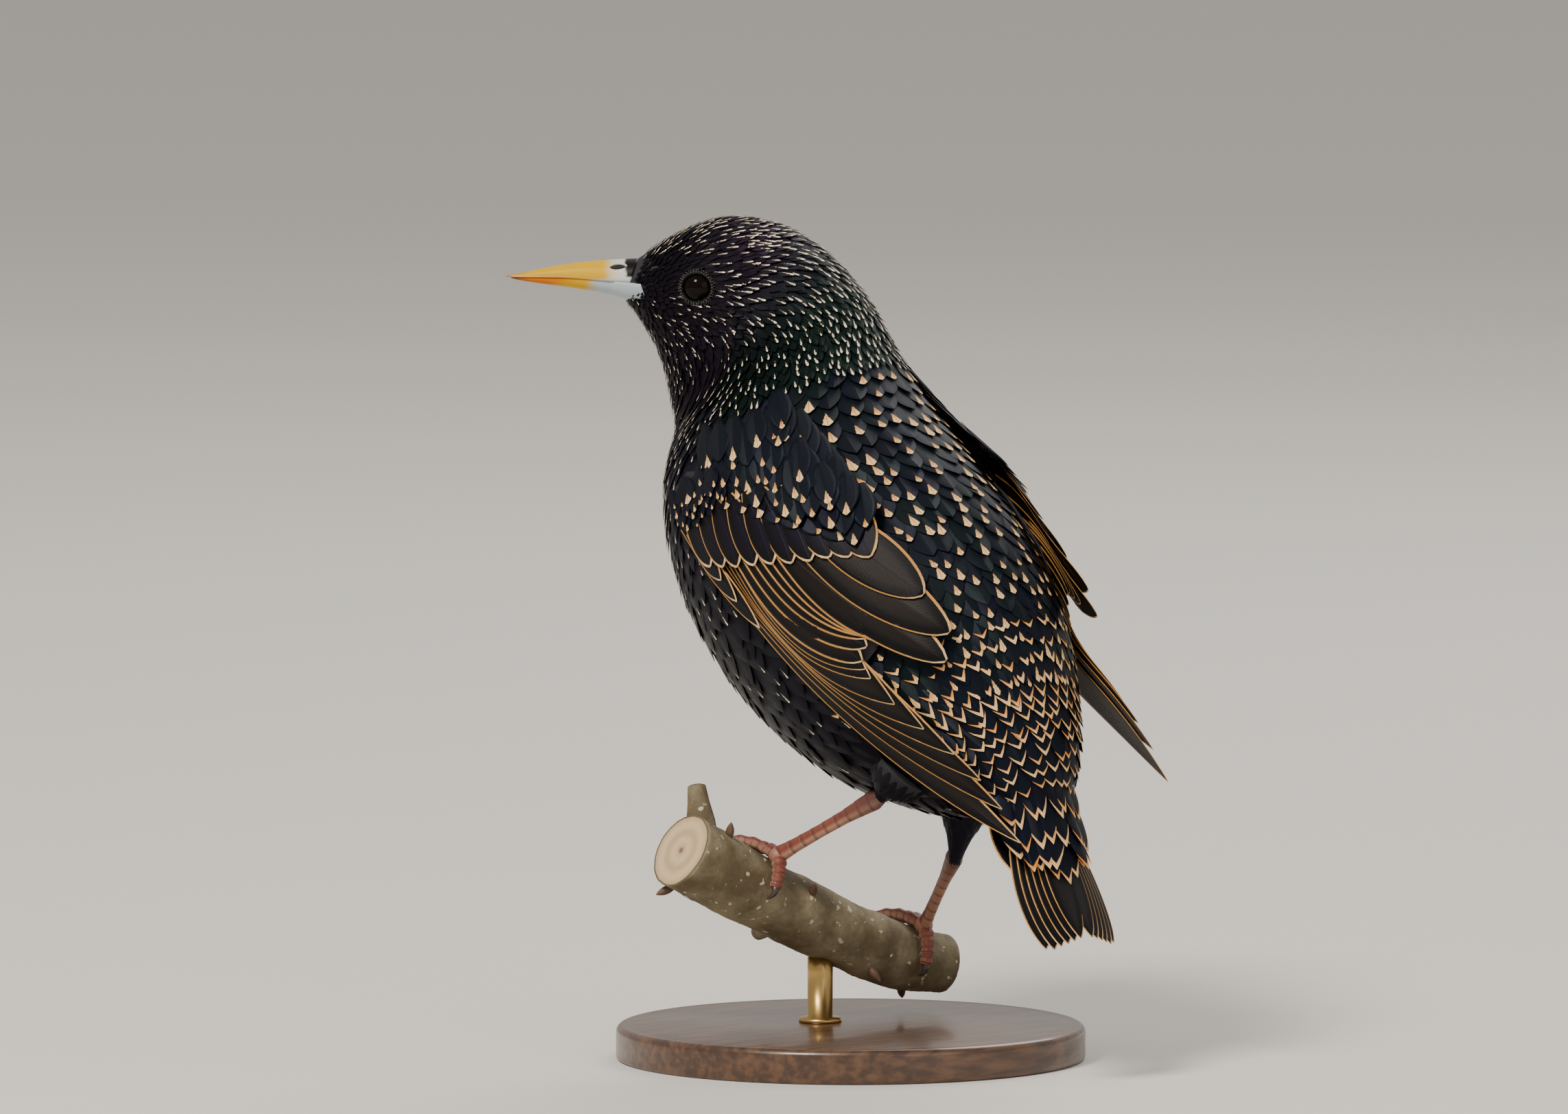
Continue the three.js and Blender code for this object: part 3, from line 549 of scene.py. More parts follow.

# Head: small feathers, smallest at the bill and round the eye, with fine buff-white streaks and a purple
# gloss tint that is partly painted sheen, strongest on top of the crown.
# They keep clear of the two eyes, whose places are told forward, out and up from the neck's axis.
forward = np.array([math.sin(HEAD_TURN), -math.cos(HEAD_TURN), 0.0])
left = np.array([math.cos(HEAD_TURN), math.sin(HEAD_TURN), 0.0])
skyward = np.array([0, 0, 1.0])
head_middle = np.array([PIVOT[0], PIVOT[1], LIFT])
EYE_AHEAD, EYE_OUT, EYE_UP, BARE_ROUND_EYE = 10.6, 9.3, 145.9, 3.3
SIDES = (("left", 1), ("right", -1))
eyes_middle = head_middle + forward * EYE_AHEAD + skyward * EYE_UP
EYE_SPOTS = [eyes_middle + left * EYE_OUT * sign for _, sign in SIDES]


def off_eye(along, angle):
    point = body_at(along, angle)[0]
    return np.all([((point - eye) ** 2).sum(-1) > BARE_ROUND_EYE ** 2 for eye in EYE_SPOTS], axis=0)


along, angle = scatter(0.76, 0.985, 150000, lambda a: 0.75 + 0.5 * np.clip((0.98 - a) / 0.2, 0, 1), off_eye)
crown = np.clip(np.cos(angle) * 1.6 - 0.1, 0, 1)
lore = np.clip((along - 0.87) / 0.06, 0, 1) * np.clip(1.0 - np.abs(np.cos(angle) - 0.1) * 1.2, 0, 1)
near_bill = np.clip((along - 0.86) / 0.12, 0, 1)
marked = (lore < 0.35) * (rng.random(len(along)) < 0.34 + 0.22 * crown - 0.1 * near_bill)
coat("coat_head", front_material, along, angle, 4.0 - 2.4 * near_bill, 1.5 - 0.6 * near_bill,
     marks((0.10 + 0.07 * crown - 0.03 * near_bill) * marked, 1.1 + 0.9 * crown - 0.6 * near_bill),
     # Purple gloss tint, partly real colour and partly painted sheen, strongest where the crown faces up.
     mixed(BLACK, PURPLE, 0.15 + 0.6 * crown * np.clip((0.88 - along) / 0.1, 0, 1)),
     columns=3, rows=6, point=1.2, lift=(-0.55, 0.12),
     swing=-0.5 * np.sin(angle) * np.clip((0.93 - along) / 0.1, 0, 1))


# Thighs: short feathered shanks that run from under the belly down to the ankle. Each is a plain
# tapered form under a coat of small black overlapping vanes.
def columns_at(share, spots, table):
    return np.stack([np.interp(share, spots, column) for column in table.T], -1)


def perch_point(x, degrees, height):
    """A point round the branch at x, turned from its top toward its front, above its bark."""
    x, degrees, height = np.broadcast_arrays(np.asarray(x, float), degrees, height)
    spots = np.linspace(0, 1, len(PERCH_LINE))
    share = np.interp(x, PERCH_LINE[:, 0], spots)
    ahead = columns_at(share, spots, unit(np.gradient(PERCH_LINE, axis=0)))
    front = unit(np.array([0.0, -1.0, 0.0]) + ahead * ahead[..., 1:2])
    up = np.cross(front, ahead)
    up *= np.sign(up[..., 2:3])
    turn = np.radians(degrees)[..., None]
    radius = (THIN_END + (THICK_END - THIN_END) * share + height)[..., None]
    return columns_at(share, spots, PERCH_LINE) + (up * np.cos(turn) + front * np.sin(turn)) * radius


def smooth_line(points, count=200):
    """A centripetal Catmull-Rom curve through the points, as a fine row of points."""
    points = np.asarray(points, float)
    ends = np.concatenate([[2 * points[0] - points[1]], points, [2 * points[-1] - points[-2]]])
    spans = len(points) - 1
    out = []
    for index in range(spans):
        quad = ends[index:index + 4]
        knots = arc_length(quad, 0.5)

        def between(first, second, k, reach):
            gap = knots[k + reach] - knots[k]
            return (first * (knots[k + reach] - t) + second * (t - knots[k])) / gap

        for t in np.linspace(knots[1], knots[2], count // spans, endpoint=index == spans - 1):
            a = [between(quad[k], quad[k + 1], k, 1) for k in range(3)]
            b = [between(a[k], a[k + 1], k, 2) for k in range(2)]
            out.append(between(b[0], b[1], 1, 1))
    return np.array(out)


def tube_points(line, radii, sides, upward=(0, 0, 1)):
    """Rings about a line; the radii are one a ring, or one for each point of each ring."""
    line, radii = np.asarray(line, float), np.asarray(radii, float)
    ahead = unit(np.gradient(line, axis=0))
    across = unit(np.cross(ahead, np.asarray(upward, float)))
    over = np.cross(across, ahead)
    turn = np.linspace(0, FULL_TURN, sides, endpoint=False)[None, :, None]
    radii = (radii[:, None] if radii.ndim == 1 else radii)[..., None]
    return line[:, None] + over[:, None] * (np.cos(turn) * radii) + across[:, None] * (np.sin(turn) * radii)


def add_tubes(name, tubes, look, replaced=()):
    """One piece of closed tubes, each told by its rings."""
    points, faces, start = [], [], 0
    for rings in tubes:
        rows, sides = rings.shape[:2]
        points.append(rings.reshape(-1, 3))
        faces += grid_faces(rows, sides, start, wrap=True).tolist()
        faces.append([start + side for side in range(sides)][::-1])
        faces.append([start + (rows - 1) * sides + side for side in range(sides)])
        start += rows * sides
    piece = joined_mesh(name, np.concatenate(points), faces, look)
    if replaced:
        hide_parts(*replaced)
    return piece


PERCH_LINE = smooth_line([(-29, -4, 17), (-18, -4.5, 19.1), (20, -9, 35.5), (37, -11, 44.5)])
THIN_END, THICK_END = 6.3, 8.2
LEGS = [
    dict(side="left", x=20, ankle=(13, 22.6, 56.3), top=(12, 31, 64.5), radius=9.5, lift=2.0, reach=73),
    dict(side="right", x=-18, ankle=(-10, 20.7, 42.9), top=(-10, 26, 63.5), radius=9.0, lift=1.8, reach=88),
]
THIGH_ROWS, THIGH_SIDES, THIGH_VANE, COAT_DEPTH = 16, 24, 5.5, 0.5
across, down, shape, _ = vane_grid(3, 5, 1.3)
for leg in LEGS:
    thick = [leg["radius"], leg["radius"] * 0.85, leg["radius"] * 0.58, 2.4, 1.7]
    share = np.linspace(0, 1, THIGH_ROWS)
    radii = np.interp(share, [0, 0.3, 0.6, 0.85, 1], thick) - COAT_DEPTH
    rings = tube_points(mixed(leg["top"], leg["ankle"], share), radii, THIGH_SIDES)
    add_tubes(f"thigh_{leg['side']}", [rings], skin_material, [f"thigh_{leg['side']}"])
    points, places, patches = [], [], []
    for row in range(1, THIGH_ROWS - 2):
        for side in range(row % 2, THIGH_SIDES, 2):
            root = rings[row, side]
            out = unit(root - rings[row].mean(0))
            onward = unit(rings[min(row + 3, THIGH_ROWS - 1), side] - root)
            x = across * shape * (1.0 if row < 10 else 0.65)
            rise = 0.05 + 0.5 * down - 0.25 * across ** 2 * shape
            points.append(root + onward * (down * THIGH_VANE)[..., None]
                          + np.cross(onward, out) * x[..., None] + out * rise[..., None])
            places.append(np.stack([x, (1 - down) * THIGH_VANE, 1 - np.abs(across)], -1))
            patches.append([side / THIGH_SIDES, 0.01 + 0.02 * row / THIGH_ROWS] + patch(across, down))
    faces = many(grid_faces(*down.shape), len(points), down.size)
    piece = joined_mesh(f"coat_thigh_{leg['side']}", points, faces, front_material)
    mark_vanes(piece, np.array(places), (0, 0, 0), (0.012, 0.012, 0.02), len(points))
    bake_patches(piece, np.array(patches))

# Wings: folded over the flanks. Every feather is told along the wing from its bend, across it
# toward the back, and above the surface on which the wing lies, all in millimetres.
outer_points = body_at(grid_along, grid_angle)[0].reshape(-1, 3)
body_tree = BVHTree.FromPolygons(outer_points.tolist(), skin_faces)


class WingSurface:
    """The surface under a folded wing: it lies on the body and runs on freely past it."""

    def __init__(self, sign, bend, tip, outward):
        raised = np.array([0, 0, LIFT])
        self.bend = np.array(bend) + raised
        self.along = unit(np.array(tip) + raised - self.bend)
        self.out = unit(outward - self.along * (outward @ self.along))
        self.across = np.cross(self.out, self.along) * sign
        self.s, self.t = np.linspace(-12, 118, 35), np.linspace(-22, 36, 21)
        far_out, clear, nowhere = 90.0, 0.65, -90.0
        body = np.full((len(self.s), len(self.t)), nowhere + clear)
        for i, s in enumerate(self.s):
            for j, t in enumerate(self.t):
                start = self.bend + self.along * s + self.across * t + self.out * far_out
                hit = body_tree.ray_cast(Vector(start), Vector(-self.out))
                if hit[0] is not None:
                    body[i, j] = far_out - hit[3] + clear
        crown = 1.4 * (1 - ((self.t - 2) / 20) ** 2)
        droop = 3.2 * np.maximum(0, (self.s - 70) / 40) ** 2
        height = np.maximum(body, crown[None] - 1.2 - droop[:, None])
        for _ in range(6):
            padded = np.pad(height, 1, mode="edge")
            mean = (padded[:-2, 1:-1] + padded[2:, 1:-1] + padded[1:-1, :-2] + padded[1:-1, 2:]) / 4
            height = np.maximum(body, (height + mean) / 2)
        self.height = height

    def __call__(self, s, t, h):
        s, t, h = np.broadcast_arrays(np.asarray(s, float), t, h)
        x = np.clip((s - self.s[0]) / (self.s[1] - self.s[0]), 0, len(self.s) - 1.001)
        y = np.clip((t - self.t[0]) / (self.t[1] - self.t[0]), 0, len(self.t) - 1.001)
        i, j = x.astype(int), y.astype(int)
        u, v = x - i, y - j
        g = self.height
        low, high = (g[i, j + step] * (1 - u) + g[i + 1, j + step] * u for step in (0, 1))
        s, t, out = (value[..., None] for value in (s, t, low * (1 - v) + high * v + h))
        return self.bend + self.along * s + self.across * t + self.out * out


def there_and_back(grid):
    """A vane's upper face from edge to edge and its lower face back again."""
    return np.concatenate([grid, grid[:, ::-1]], 1)


def lay_vanes(name, surface, root, tip, half, level, bow, mark, tint, finish, patch_from,
              point=0.5, columns=9, rows=16):
    """Closed thin vanes laid on a surface, each from its root to its tip at its levels there."""
    look, slot = finish
    root, tip = np.asarray(root, float), np.asarray(tip, float)
    count = len(root)
    half, bow = per_vane(half, count), per_vane(bow, count)
    level_root, level_tip = (per_vane(column, count) for column in np.broadcast_to(level, (count, 2)).T)
    across, down, shape, slope = vane_grid(columns, rows, point)
    onward = tip - root
    length = np.linalg.norm(onward, axis=1)
    side = np.stack([-onward[:, 1], onward[:, 0]], 1) / length[:, None]
    length = per_vane(length, count)
    x = across * shape * half
    middle = root[:, None, None] + onward[:, None, None] * down[..., None]
    spot = middle + side[:, None, None] * (x + bow * 4 * down * (1 - down))[..., None]
    shaft_rise, shaft_half, camber, thick = 0.10, 0.35, 0.036, 0.16
    top = level_root * (1 - down) + level_tip * down - camber * x ** 2 / np.maximum(half, 1)
    top = top + shaft_rise * np.exp(-(x / shaft_half) ** 2) * (1 - down)
    upper = surface(spot[..., 0], spot[..., 1], top)
    bottom = top - thick * (0.35 + 0.65 * (1 - np.abs(across))) * (1.05 - down)
    lower = surface(spot[..., 0], spot[..., 1], bottom)
    points = np.concatenate([upper, lower[:, :, ::-1]], 2)
    ring = 2 * columns
    ends = np.array([[k, k + 1, ring - 2 - k, ring - 1 - k] for k in range(columns - 1)])
    one = np.concatenate([grid_faces(rows, ring, wrap=True), ends[:, ::-1], ends + (rows - 1) * ring])
    piece = joined_mesh(name, points, many(one, count, rows * ring), look)
    from_tip = (1 - down) * length
    rim = np.minimum(rim_distance(x, shape, slope, half, length), from_tip + 0.02)
    place = np.stack([x, from_tip, rim], -1)
    mark_vanes(piece, np.concatenate([place, place[:, :, ::-1]], 2), mark, tint, count)
    spots = np.array(patch_from) + root / 160
    bake_patches(piece, spots[:, None, None] + patch(there_and_back(across), there_and_back(down)))
    return piece


def flight_look(s):
    x, y, rim = s.attribute("place", "Vector").parts()
    edge, tip_edge, band = s.attribute("mark", "Vector").parts()
    tint, seed = s.attribute("tint", "Color"), s.attribute("seed")
    wobble = s.noise(1500.0, 3.0, s.place()) - 0.5
    near_tip = (6.0 - y).ramp(0.0, 6.0)
    width = edge + (tip_edge - edge) * near_tip + wobble * 0.16
    fringe = (width * (x.ramp(-1.2, 1.2) * 0.5 + 0.5).most(near_tip * 0.8) - rim).ramp(-0.09, 0.07)
    buff = near_tip.mix((0.66, 0.33, 0.09), (0.82, 0.58, 0.30))
    buff = (wobble * 0.8 + seed * 0.5).mix(buff, (0.40, 0.18, 0.05))
    inner = (rim - band).ramp(0.0, 1.6)
    barb = ((y + x.abs() * 1.2) * 15.0 + wobble * 2.0).sin() * 0.5 + 0.5
    dark = (inner * 0.8 + wobble * 0.4).mix((0.003, 0.0025, 0.003), tint)
    dark = (barb * 0.35).mix(dark, (0.003, 0.0025, 0.003))
    shaft = (0.16 - x.abs()).ramp(0.0, 0.1)
    dark = (shaft * 0.5).mix(dark, (0.012, 0.009, 0.008))
    return {"Base_Color": fringe.mix(dark, buff), "Metallic": (1 - fringe) * 0.2,
            "Roughness": fringe * 0.2 + 0.42, "Normal": s.bump(barb * 0.6 + shaft, 0.35, 0.00012)}


flight_material = material("feathers_flight", flight_look, Specular_IOR_Level=0.18)
FLIGHT, BODY = (flight_material, "flight_feathers"), (back_material, "body_plumage")
BROWN, GREY_BROWN, VIOLET = (0.013, 0.009, 0.007), (0.016, 0.012, 0.010), (0.006, 0.004, 0.016)
WINGS = [
    ("left", 0.1, WingSurface(1, (28, -21.3, 105.7), (14, 63.1, 38), (0.906, 0.266, 0.328))),
    ("right", 0.6, WingSurface(-1, (-28, -18, 108), (-22, 70, 51.6), (-0.906, 0.266, 0.328))),
]
# Across each wing at a place along it: its lowest and highest edge and its upper side.
CORE = ((0, -2, 4, 0.5), (6, -4.0, 9, 0.6), (20, -5.2, 16, 0.6), (38, -4.8, 20, 0.6), (52, -4, 18, 0.5),
        (62, -2.4, 9, 0.3))
# Each group's roots, tips, half widths, levels at root and tip and bows are spread evenly over its
# feathers; mark is the fringe along the edge, the fringe at the tip and the dark band inside it, or
# the spot of a body feather; patch places the group in the bake map.
FEATHER_GROUPS = [
    dict(name="primaries", count=8, roots=[(16, -4.2), (26, 0.5)],
         tips=[(109, 0.8), (101.5, 3.0), (94.5, 4.2), (87.5, 4.4), (80, 3.9), (72.5, 3.4), (65.5, 3.8),
               (63.5, 4.4)],
         half=[3.7, 5.2], level=[(0.6, 0.5), (1.3, 1.6)], bow=[-2.0, -0.6], mark=(0.34, 0.26, 0.5),
         tint=GREY_BROWN, finish=FLIGHT, patch=0.5, shape=dict(point=0.75, rows=26, columns=11)),
    dict(name="secondaries", count=6, roots=[(24, 1), (28, 9)],
         tips=[(62, 5.2), (61, 8), (60.5, 10.5), (62, 12.5), (65, 14), (68, 15)],
         half=[4.9], level=[(2.0, 1.85), (2.5, 2.45)], bow=[-0.8], mark=(0.74, 0.40, 0.8),
         tint=BROWN, finish=FLIGHT, patch=0.55, shape=dict(point=0.3, rows=22, columns=11)),
    dict(name="tertials", count=3, roots=[(24, 10), (26, 13.5), (28, 17)],
         tips=[(75, 17.4), (71.5, 22.0), (62.5, 23.8)],
         half=[5.4, 5.9, 5.6], level=[(2.3, 2.65), (2.65, 3.1), (3.1, 3.55)], bow=[-0.8, -0.4, 0.2],
         mark=(0.52, 0.42, 1.2), tint=GREY_BROWN, finish=FLIGHT, patch=0.6,
         shape=dict(point=0.2, rows=24, columns=13)),
    dict(name="alula", count=3, roots=[(8, -4.6), (12, -4.0)], tips=[(38, -6.4), (30, -6.2), (24, -5.6)],
         half=[1.9], level=[(1.6, 1.5), (1.8, 1.8), (2.0, 2.1)], bow=[0], mark=(0.26, 0.40, 0.5),
         tint=VIOLET, finish=FLIGHT, patch=0.65, shape=dict(point=0.5, rows=16)),
    dict(name="greater_coverts", count=10, roots=[(6, -1), (18, 13), (30, 25)],
         tips=[(20, -5.4), (25.5, -1.4), (31.5, 4.2), (38, 10), (43, 16), (49, 21.5)],
         half=[2.7, 4.2], level=[(2.3, 2.35), (3.2, 3.85)], bow=[0.4], mark=(0.34, 0.62, 0.9),
         tint=VIOLET, finish=FLIGHT, patch=0.7, shape=dict(point=0.2, rows=16, columns=11)),
    dict(name="median_coverts", count=10, roots=[(0, 2.5), (27, 20)],
         tips=[(6.5, 0.2), (13, 4.6), (22, 9.5), (31, 14), (42, 20)],
         half=[2.4, 3.8], level=[(0.8, 2.5), (2.3, 4.0)], bow=[0.2], mark=(1.1, 1.7, 0.0),
         tint=NAVY, finish=BODY, patch=0.75, shape=dict(point=0.6, rows=12)),
]


def spread(count, values):
    """A row of count values or points spread evenly over the given ones."""
    values = np.asarray(values, float)
    spots = np.linspace(0, 1, len(values))
    row = columns_at(np.linspace(0, 1, count), spots, values.reshape(len(values), -1))
    return row if values.ndim == 2 else row[:, 0]


def flat_ring(surface, s, low, high, top, bottom):
    """A flat closed ring across a surface, out along its upper side and back along its lower."""
    t = np.linspace(low, high, 12)
    return np.concatenate([surface(s, t, top), surface(s, t[::-1], bottom)])


def brick_rows(s_places, t_places, shift):
    """Roots in rows along and across the wing, every other row shifted along it."""
    s, t = np.meshgrid(s_places, t_places, indexing="ij")
    return (s + shift * (np.arange(len(t_places)) % 2)).ravel(), t.ravel()


SCAPULAR_LENGTH, SCAPULAR_HALF, MARGINAL_HALF, CORE_BOTTOM = 10.5, 2.7, 1.35, 0.1
for side, patch_u, surface in WINGS:
    rings = [flat_ring(surface, s, low, high, top, CORE_BOTTOM) for s, low, high, top in CORE]
    add_tubes(f"wing_core_{side}", [np.array(rings)], skin_material, [f"wing_{side}"])
    for group in FEATHER_GROUPS:
        root, tip, half, level, bow = (spread(group["count"], group[key])
                                       for key in ("roots", "tips", "half", "level", "bow"))
        lay_vanes(f"{group['name']}_{side}", surface, root, tip, half, level, bow, group["mark"],
                  group["tint"], group["finish"], (patch_u, group["patch"]), **group["shape"])

    # Scapulars lie from the back over the wing's root and sink into the mantle toward the middle.
    s, t = brick_rows(np.arange(-9, 40, 4.1), np.arange(-1.0, 31, 3.4), 2.0)
    s, t = s + rng.normal(0, 0.5, s.size), t + rng.normal(0, 0.35, s.size)
    root = np.stack([s, t], 1)
    tip = root + (np.array([0.86, -0.42]) + rng.normal(0, 0.06, root.shape)) * SCAPULAR_LENGTH
    onto = root[:, 0] + 7 - 0.40 * np.clip(root[:, 1] - 11, 0, 40)
    inside = (tip[:, 1] > 2.6 + 0.42 * (tip[:, 0] - 2)) & (onto > 0) & (tip[:, 1] < 29) & (tip[:, 0] < 46)
    root, tip, onto = root[inside], tip[inside], onto[inside]
    sinks = np.clip((tip[:, 1] - 12 - 0.32 * tip[:, 0]) / 10, 0, 1)
    top = (3.3 + 1.4 * np.clip(tip[:, 0] / 40, 0, 1)) * (1 - sinks) + 0.4 * sinks
    base = -0.8 + (top + 0.2) * 0.75 * np.clip(onto / 26, 0, 1)
    level = np.stack([base, np.minimum(top + 0.6, base + 2.0) + rng.normal(0, 0.08, len(tip))], 1)
    hearts = rng.random(len(root)) < 0.85
    tint = mixed(NAVY, GREEN, rng.random(len(root)) * 0.4)
    lay_vanes(f"scapulars_{side}", surface, root, tip, SCAPULAR_HALF, level, 0.0, marks(0.86 * hearts, 2.4),
              tint, BODY, (patch_u, 0.82), point=0.8, rows=12, columns=7)

    # Marginal coverts are the small feathers at the wing's bend.
    s, t = brick_rows(np.arange(1.0, 8, 2.1), np.arange(-1.5, 9, 2.0), 1.0)
    rank = np.clip((s + 5) / 10, 0, 1)
    root = np.stack([s + 0.28 * (t - 3), t], 1) + rng.normal(0, 0.3, (s.size, 2))
    tip = root + np.array([4.6, -2.0]) + rng.normal(0, 0.2, root.shape)
    marked = rng.random(len(root)) < 0.8
    level = np.stack([-0.7 + 2.4 * rank, 0.3 + 2.9 * rank], 1)
    lay_vanes(f"marginal_coverts_{side}", surface, root, tip, MARGINAL_HALF, level, 0.0,
              marks(0.40 * marked, 1.3), NAVY, BODY, (patch_u, 0.9), point=0.8, rows=8, columns=5)

# Tail: twelve feathers closed over each other, the middle pair on top, under long coverts. Its
# feathers are told down from the root, across from the middle and above its arched surface.
# The middle of the tail at its root and its tip, behind the bird's middle and up.
TAIL_ROOT, TAIL_TIP = np.array([54.8, 44.2]), np.array([69.4, 16.8])
TAIL_LENGTH = float(np.linalg.norm(TAIL_TIP - TAIL_ROOT))
TAIL_FALL = math.atan2(TAIL_TIP[0] - TAIL_ROOT[0], TAIL_ROOT[1] - TAIL_TIP[1])


def tail_surface(s, t, h):
    s, t, h = np.broadcast_arrays(np.asarray(s, float), t, h)
    share = s / TAIL_LENGTH
    back, height = (TAIL_ROOT[axis] + (TAIL_TIP[axis] - TAIL_ROOT[axis]) * share for axis in (0, 1))
    half = 10.2 + 2.3 * share
    raised = h - 2.2 * (t / half) ** 2
    back, height = back + math.cos(TAIL_FALL) * raised, height + LIFT + math.sin(TAIL_FALL) * raised
    return np.stack([t, back, height], -1)


# From the middle pair, 0, to the outer pair, 1, a feather of each pair to the left and the right.
share = np.repeat(np.linspace(0, 1, 6), 2)
hand = np.tile([1, -1], 6)
root = np.stack([np.full(12, 0.6), hand * (1.2 + 5.0 * share)], 1)
tip = np.stack([TAIL_LENGTH - 1.6 + 1.5 * share - 0.8 * (share > 0.99), hand * (1.6 + 7.9 * share)], 1)
level = np.stack([1.25 - 1.25 * share, 1.0 - 1.3 * share], 1) - 0.06 * (hand < 0)[:, None]
tail = lay_vanes("tail_feathers", tail_surface, root, tip, 3.4, level, 0.0, (0.20, 0.32, 0.6),
                 (0.020, 0.018, 0.019), FLIGHT, (0.3, 0.1), point=0.4, rows=22, columns=11)
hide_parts("tail")
CHEVRONS, FRINGES = (1.9, 1.6, 0.75), (0.28, 0.4, 0.8)
FRINGED = (flight_material, "body_plumage")
TAIL_COVERTS = (
    ("over", 7, [(-6, 7.5), (-6, -7.5)], [(11, 9.5), (16, 4), (18, 0), (16, -4), (11, -9.5)],
     (2.6, 1.8), CHEVRONS, BODY, 0.35, 16),
    ("upper", 7, [(-9, 7), (-9, -7)], [(4, 9.5), (9, 4), (11, 0), (9, -4), (4, -9.5)],
     (4.2, 2.8), CHEVRONS, BODY, 0.45, 16),
    ("under", 9, [(-4, 7.5), (-4, -7.5)], [(15, 8), (24, 3), (24, -3), (15, -8)],
     (-2.6, -1.3), FRINGES, FRINGED, 0.4, 14),
)
for name, count, roots, tips, level, mark, finish, patch_u, rows in TAIL_COVERTS:
    lay_vanes(f"tail_coverts_{name}", tail_surface, spread(count, roots), spread(count, tips), 3.2, level,
              0.0, mark, NAVY, finish, (patch_u, 0.12), point=1.0, rows=rows)
# The stem closes the body's end under the coverts: places down it, its width there as a share, and
# its upper and lower side.
STEM_HALF = 7.8
STEM = ((-7, 1.0, 4.6, -3.6), (-1.5, 1.0, 3.2, -2.6), (7, 1.0, 1.2, -2.2), (16, 0.9, 0.2, -1.4),
        (23, 0.6, -0.3, -1.0))
rings = [flat_ring(tail_surface, s, -STEM_HALF * wide, STEM_HALF * wide, top, bottom)
         for s, wide, top, bottom in STEM]
add_tubes("tail_stem", [np.array(rings)], skin_material)

# Eyes: near-black glossy balls, each set into the head behind a thin bare lid. The lid is edged
# with a ring of tiny pale feathers.
eye_material = material("eye", Base_Color=(0.004, 0.0022, 0.0018, 1), Roughness=0.03, Specular_IOR_Level=0.10)
lid_material = material("lid", clouded(700.0, 2.0, (0.003, 0.003, 0.003), (0.012, 0.011, 0.011)),
                        Roughness=0.7, Specular_IOR_Level=0.15)
lash_material = material("eye_ring", clouded(900.0, 1.0, (0.015, 0.014, 0.013), (0.16, 0.15, 0.135)),
                         Roughness=0.6)
BALL_RADIUS, LID_AT, LID_RADIUS, LID_STEPS, LID_SIDES = 3.4, 2.07, 3.18, 72, 12
# Each ring of lashes: its radius, how many there are, their size, how far out, and its shift.
LASHES = ((3.32, 36, 0.11, 0.34, 0.0), (3.70, 42, 0.09, 0.12, 0.5))


def ball(centre, axes, turns):
    """A ball of one radius, or stretched to three axes, as rings from pole to pole."""
    lat = np.linspace(0.02, np.pi - 0.02, turns)[:, None]
    lon = np.linspace(0, FULL_TURN, turns * 2, endpoint=False)
    sphere = np.broadcast_arrays(np.sin(lat) * np.cos(lon), np.sin(lat) * np.sin(lon), np.cos(lat))
    return np.asarray(centre) + np.stack(sphere, -1) @ (np.eye(3) * axes if np.isscalar(axes) else axes)


for name, sign in SIDES:
    low, high = (np.array(corner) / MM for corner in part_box(f"eye_{name}"))
    centre = (low + high) / 2
    outward = unit(left * sign + forward * 0.22)
    add_tubes(f"eyeball_{name}", [ball(centre, BALL_RADIUS, 28)], eye_material, [f"eye_{name}"])
    first = unit(np.cross(outward, skyward))
    second = np.cross(first, outward)
    middle = centre + outward * LID_AT
    turn = np.linspace(0, FULL_TURN, LID_STEPS, endpoint=False)[:, None]
    lean = np.linspace(0, FULL_TURN, LID_SIDES, endpoint=False)
    radius = (LID_RADIUS + 0.36 * np.cos(lean)) * (1 + 0.03 * np.cos(2 * turn))
    round_eye = (first * np.cos(turn) + second * np.sin(turn))[:, None]
    points = middle + outward * (0.05 + 0.34 * np.sin(lean))[:, None] + round_eye * radius[..., None]
    last = (LID_STEPS - 1) * LID_SIDES
    seam = [[last + k, last + (k + 1) % LID_SIDES, (k + 1) % LID_SIDES, k] for k in range(LID_SIDES)]
    faces = grid_faces(LID_STEPS, LID_SIDES, wrap=True).tolist() + seam
    lid = joined_mesh(f"lid_{name}", points, faces, lid_material)
    lashes = []
    for ring_radius, count, size, rise, shift in LASHES:
        for step in range(count):
            a = FULL_TURN * (step + shift) / count + rng.normal(0, 0.02)
            way = first * math.cos(a) + second * math.sin(a)
            axes = np.array([way * size * 1.7, np.cross(outward, way) * size, outward * size])
            lashes.append(ball(middle + way * ring_radius + outward * rise, axes, 5))
    add_tubes(f"eye_ring_{name}", lashes, lash_material)
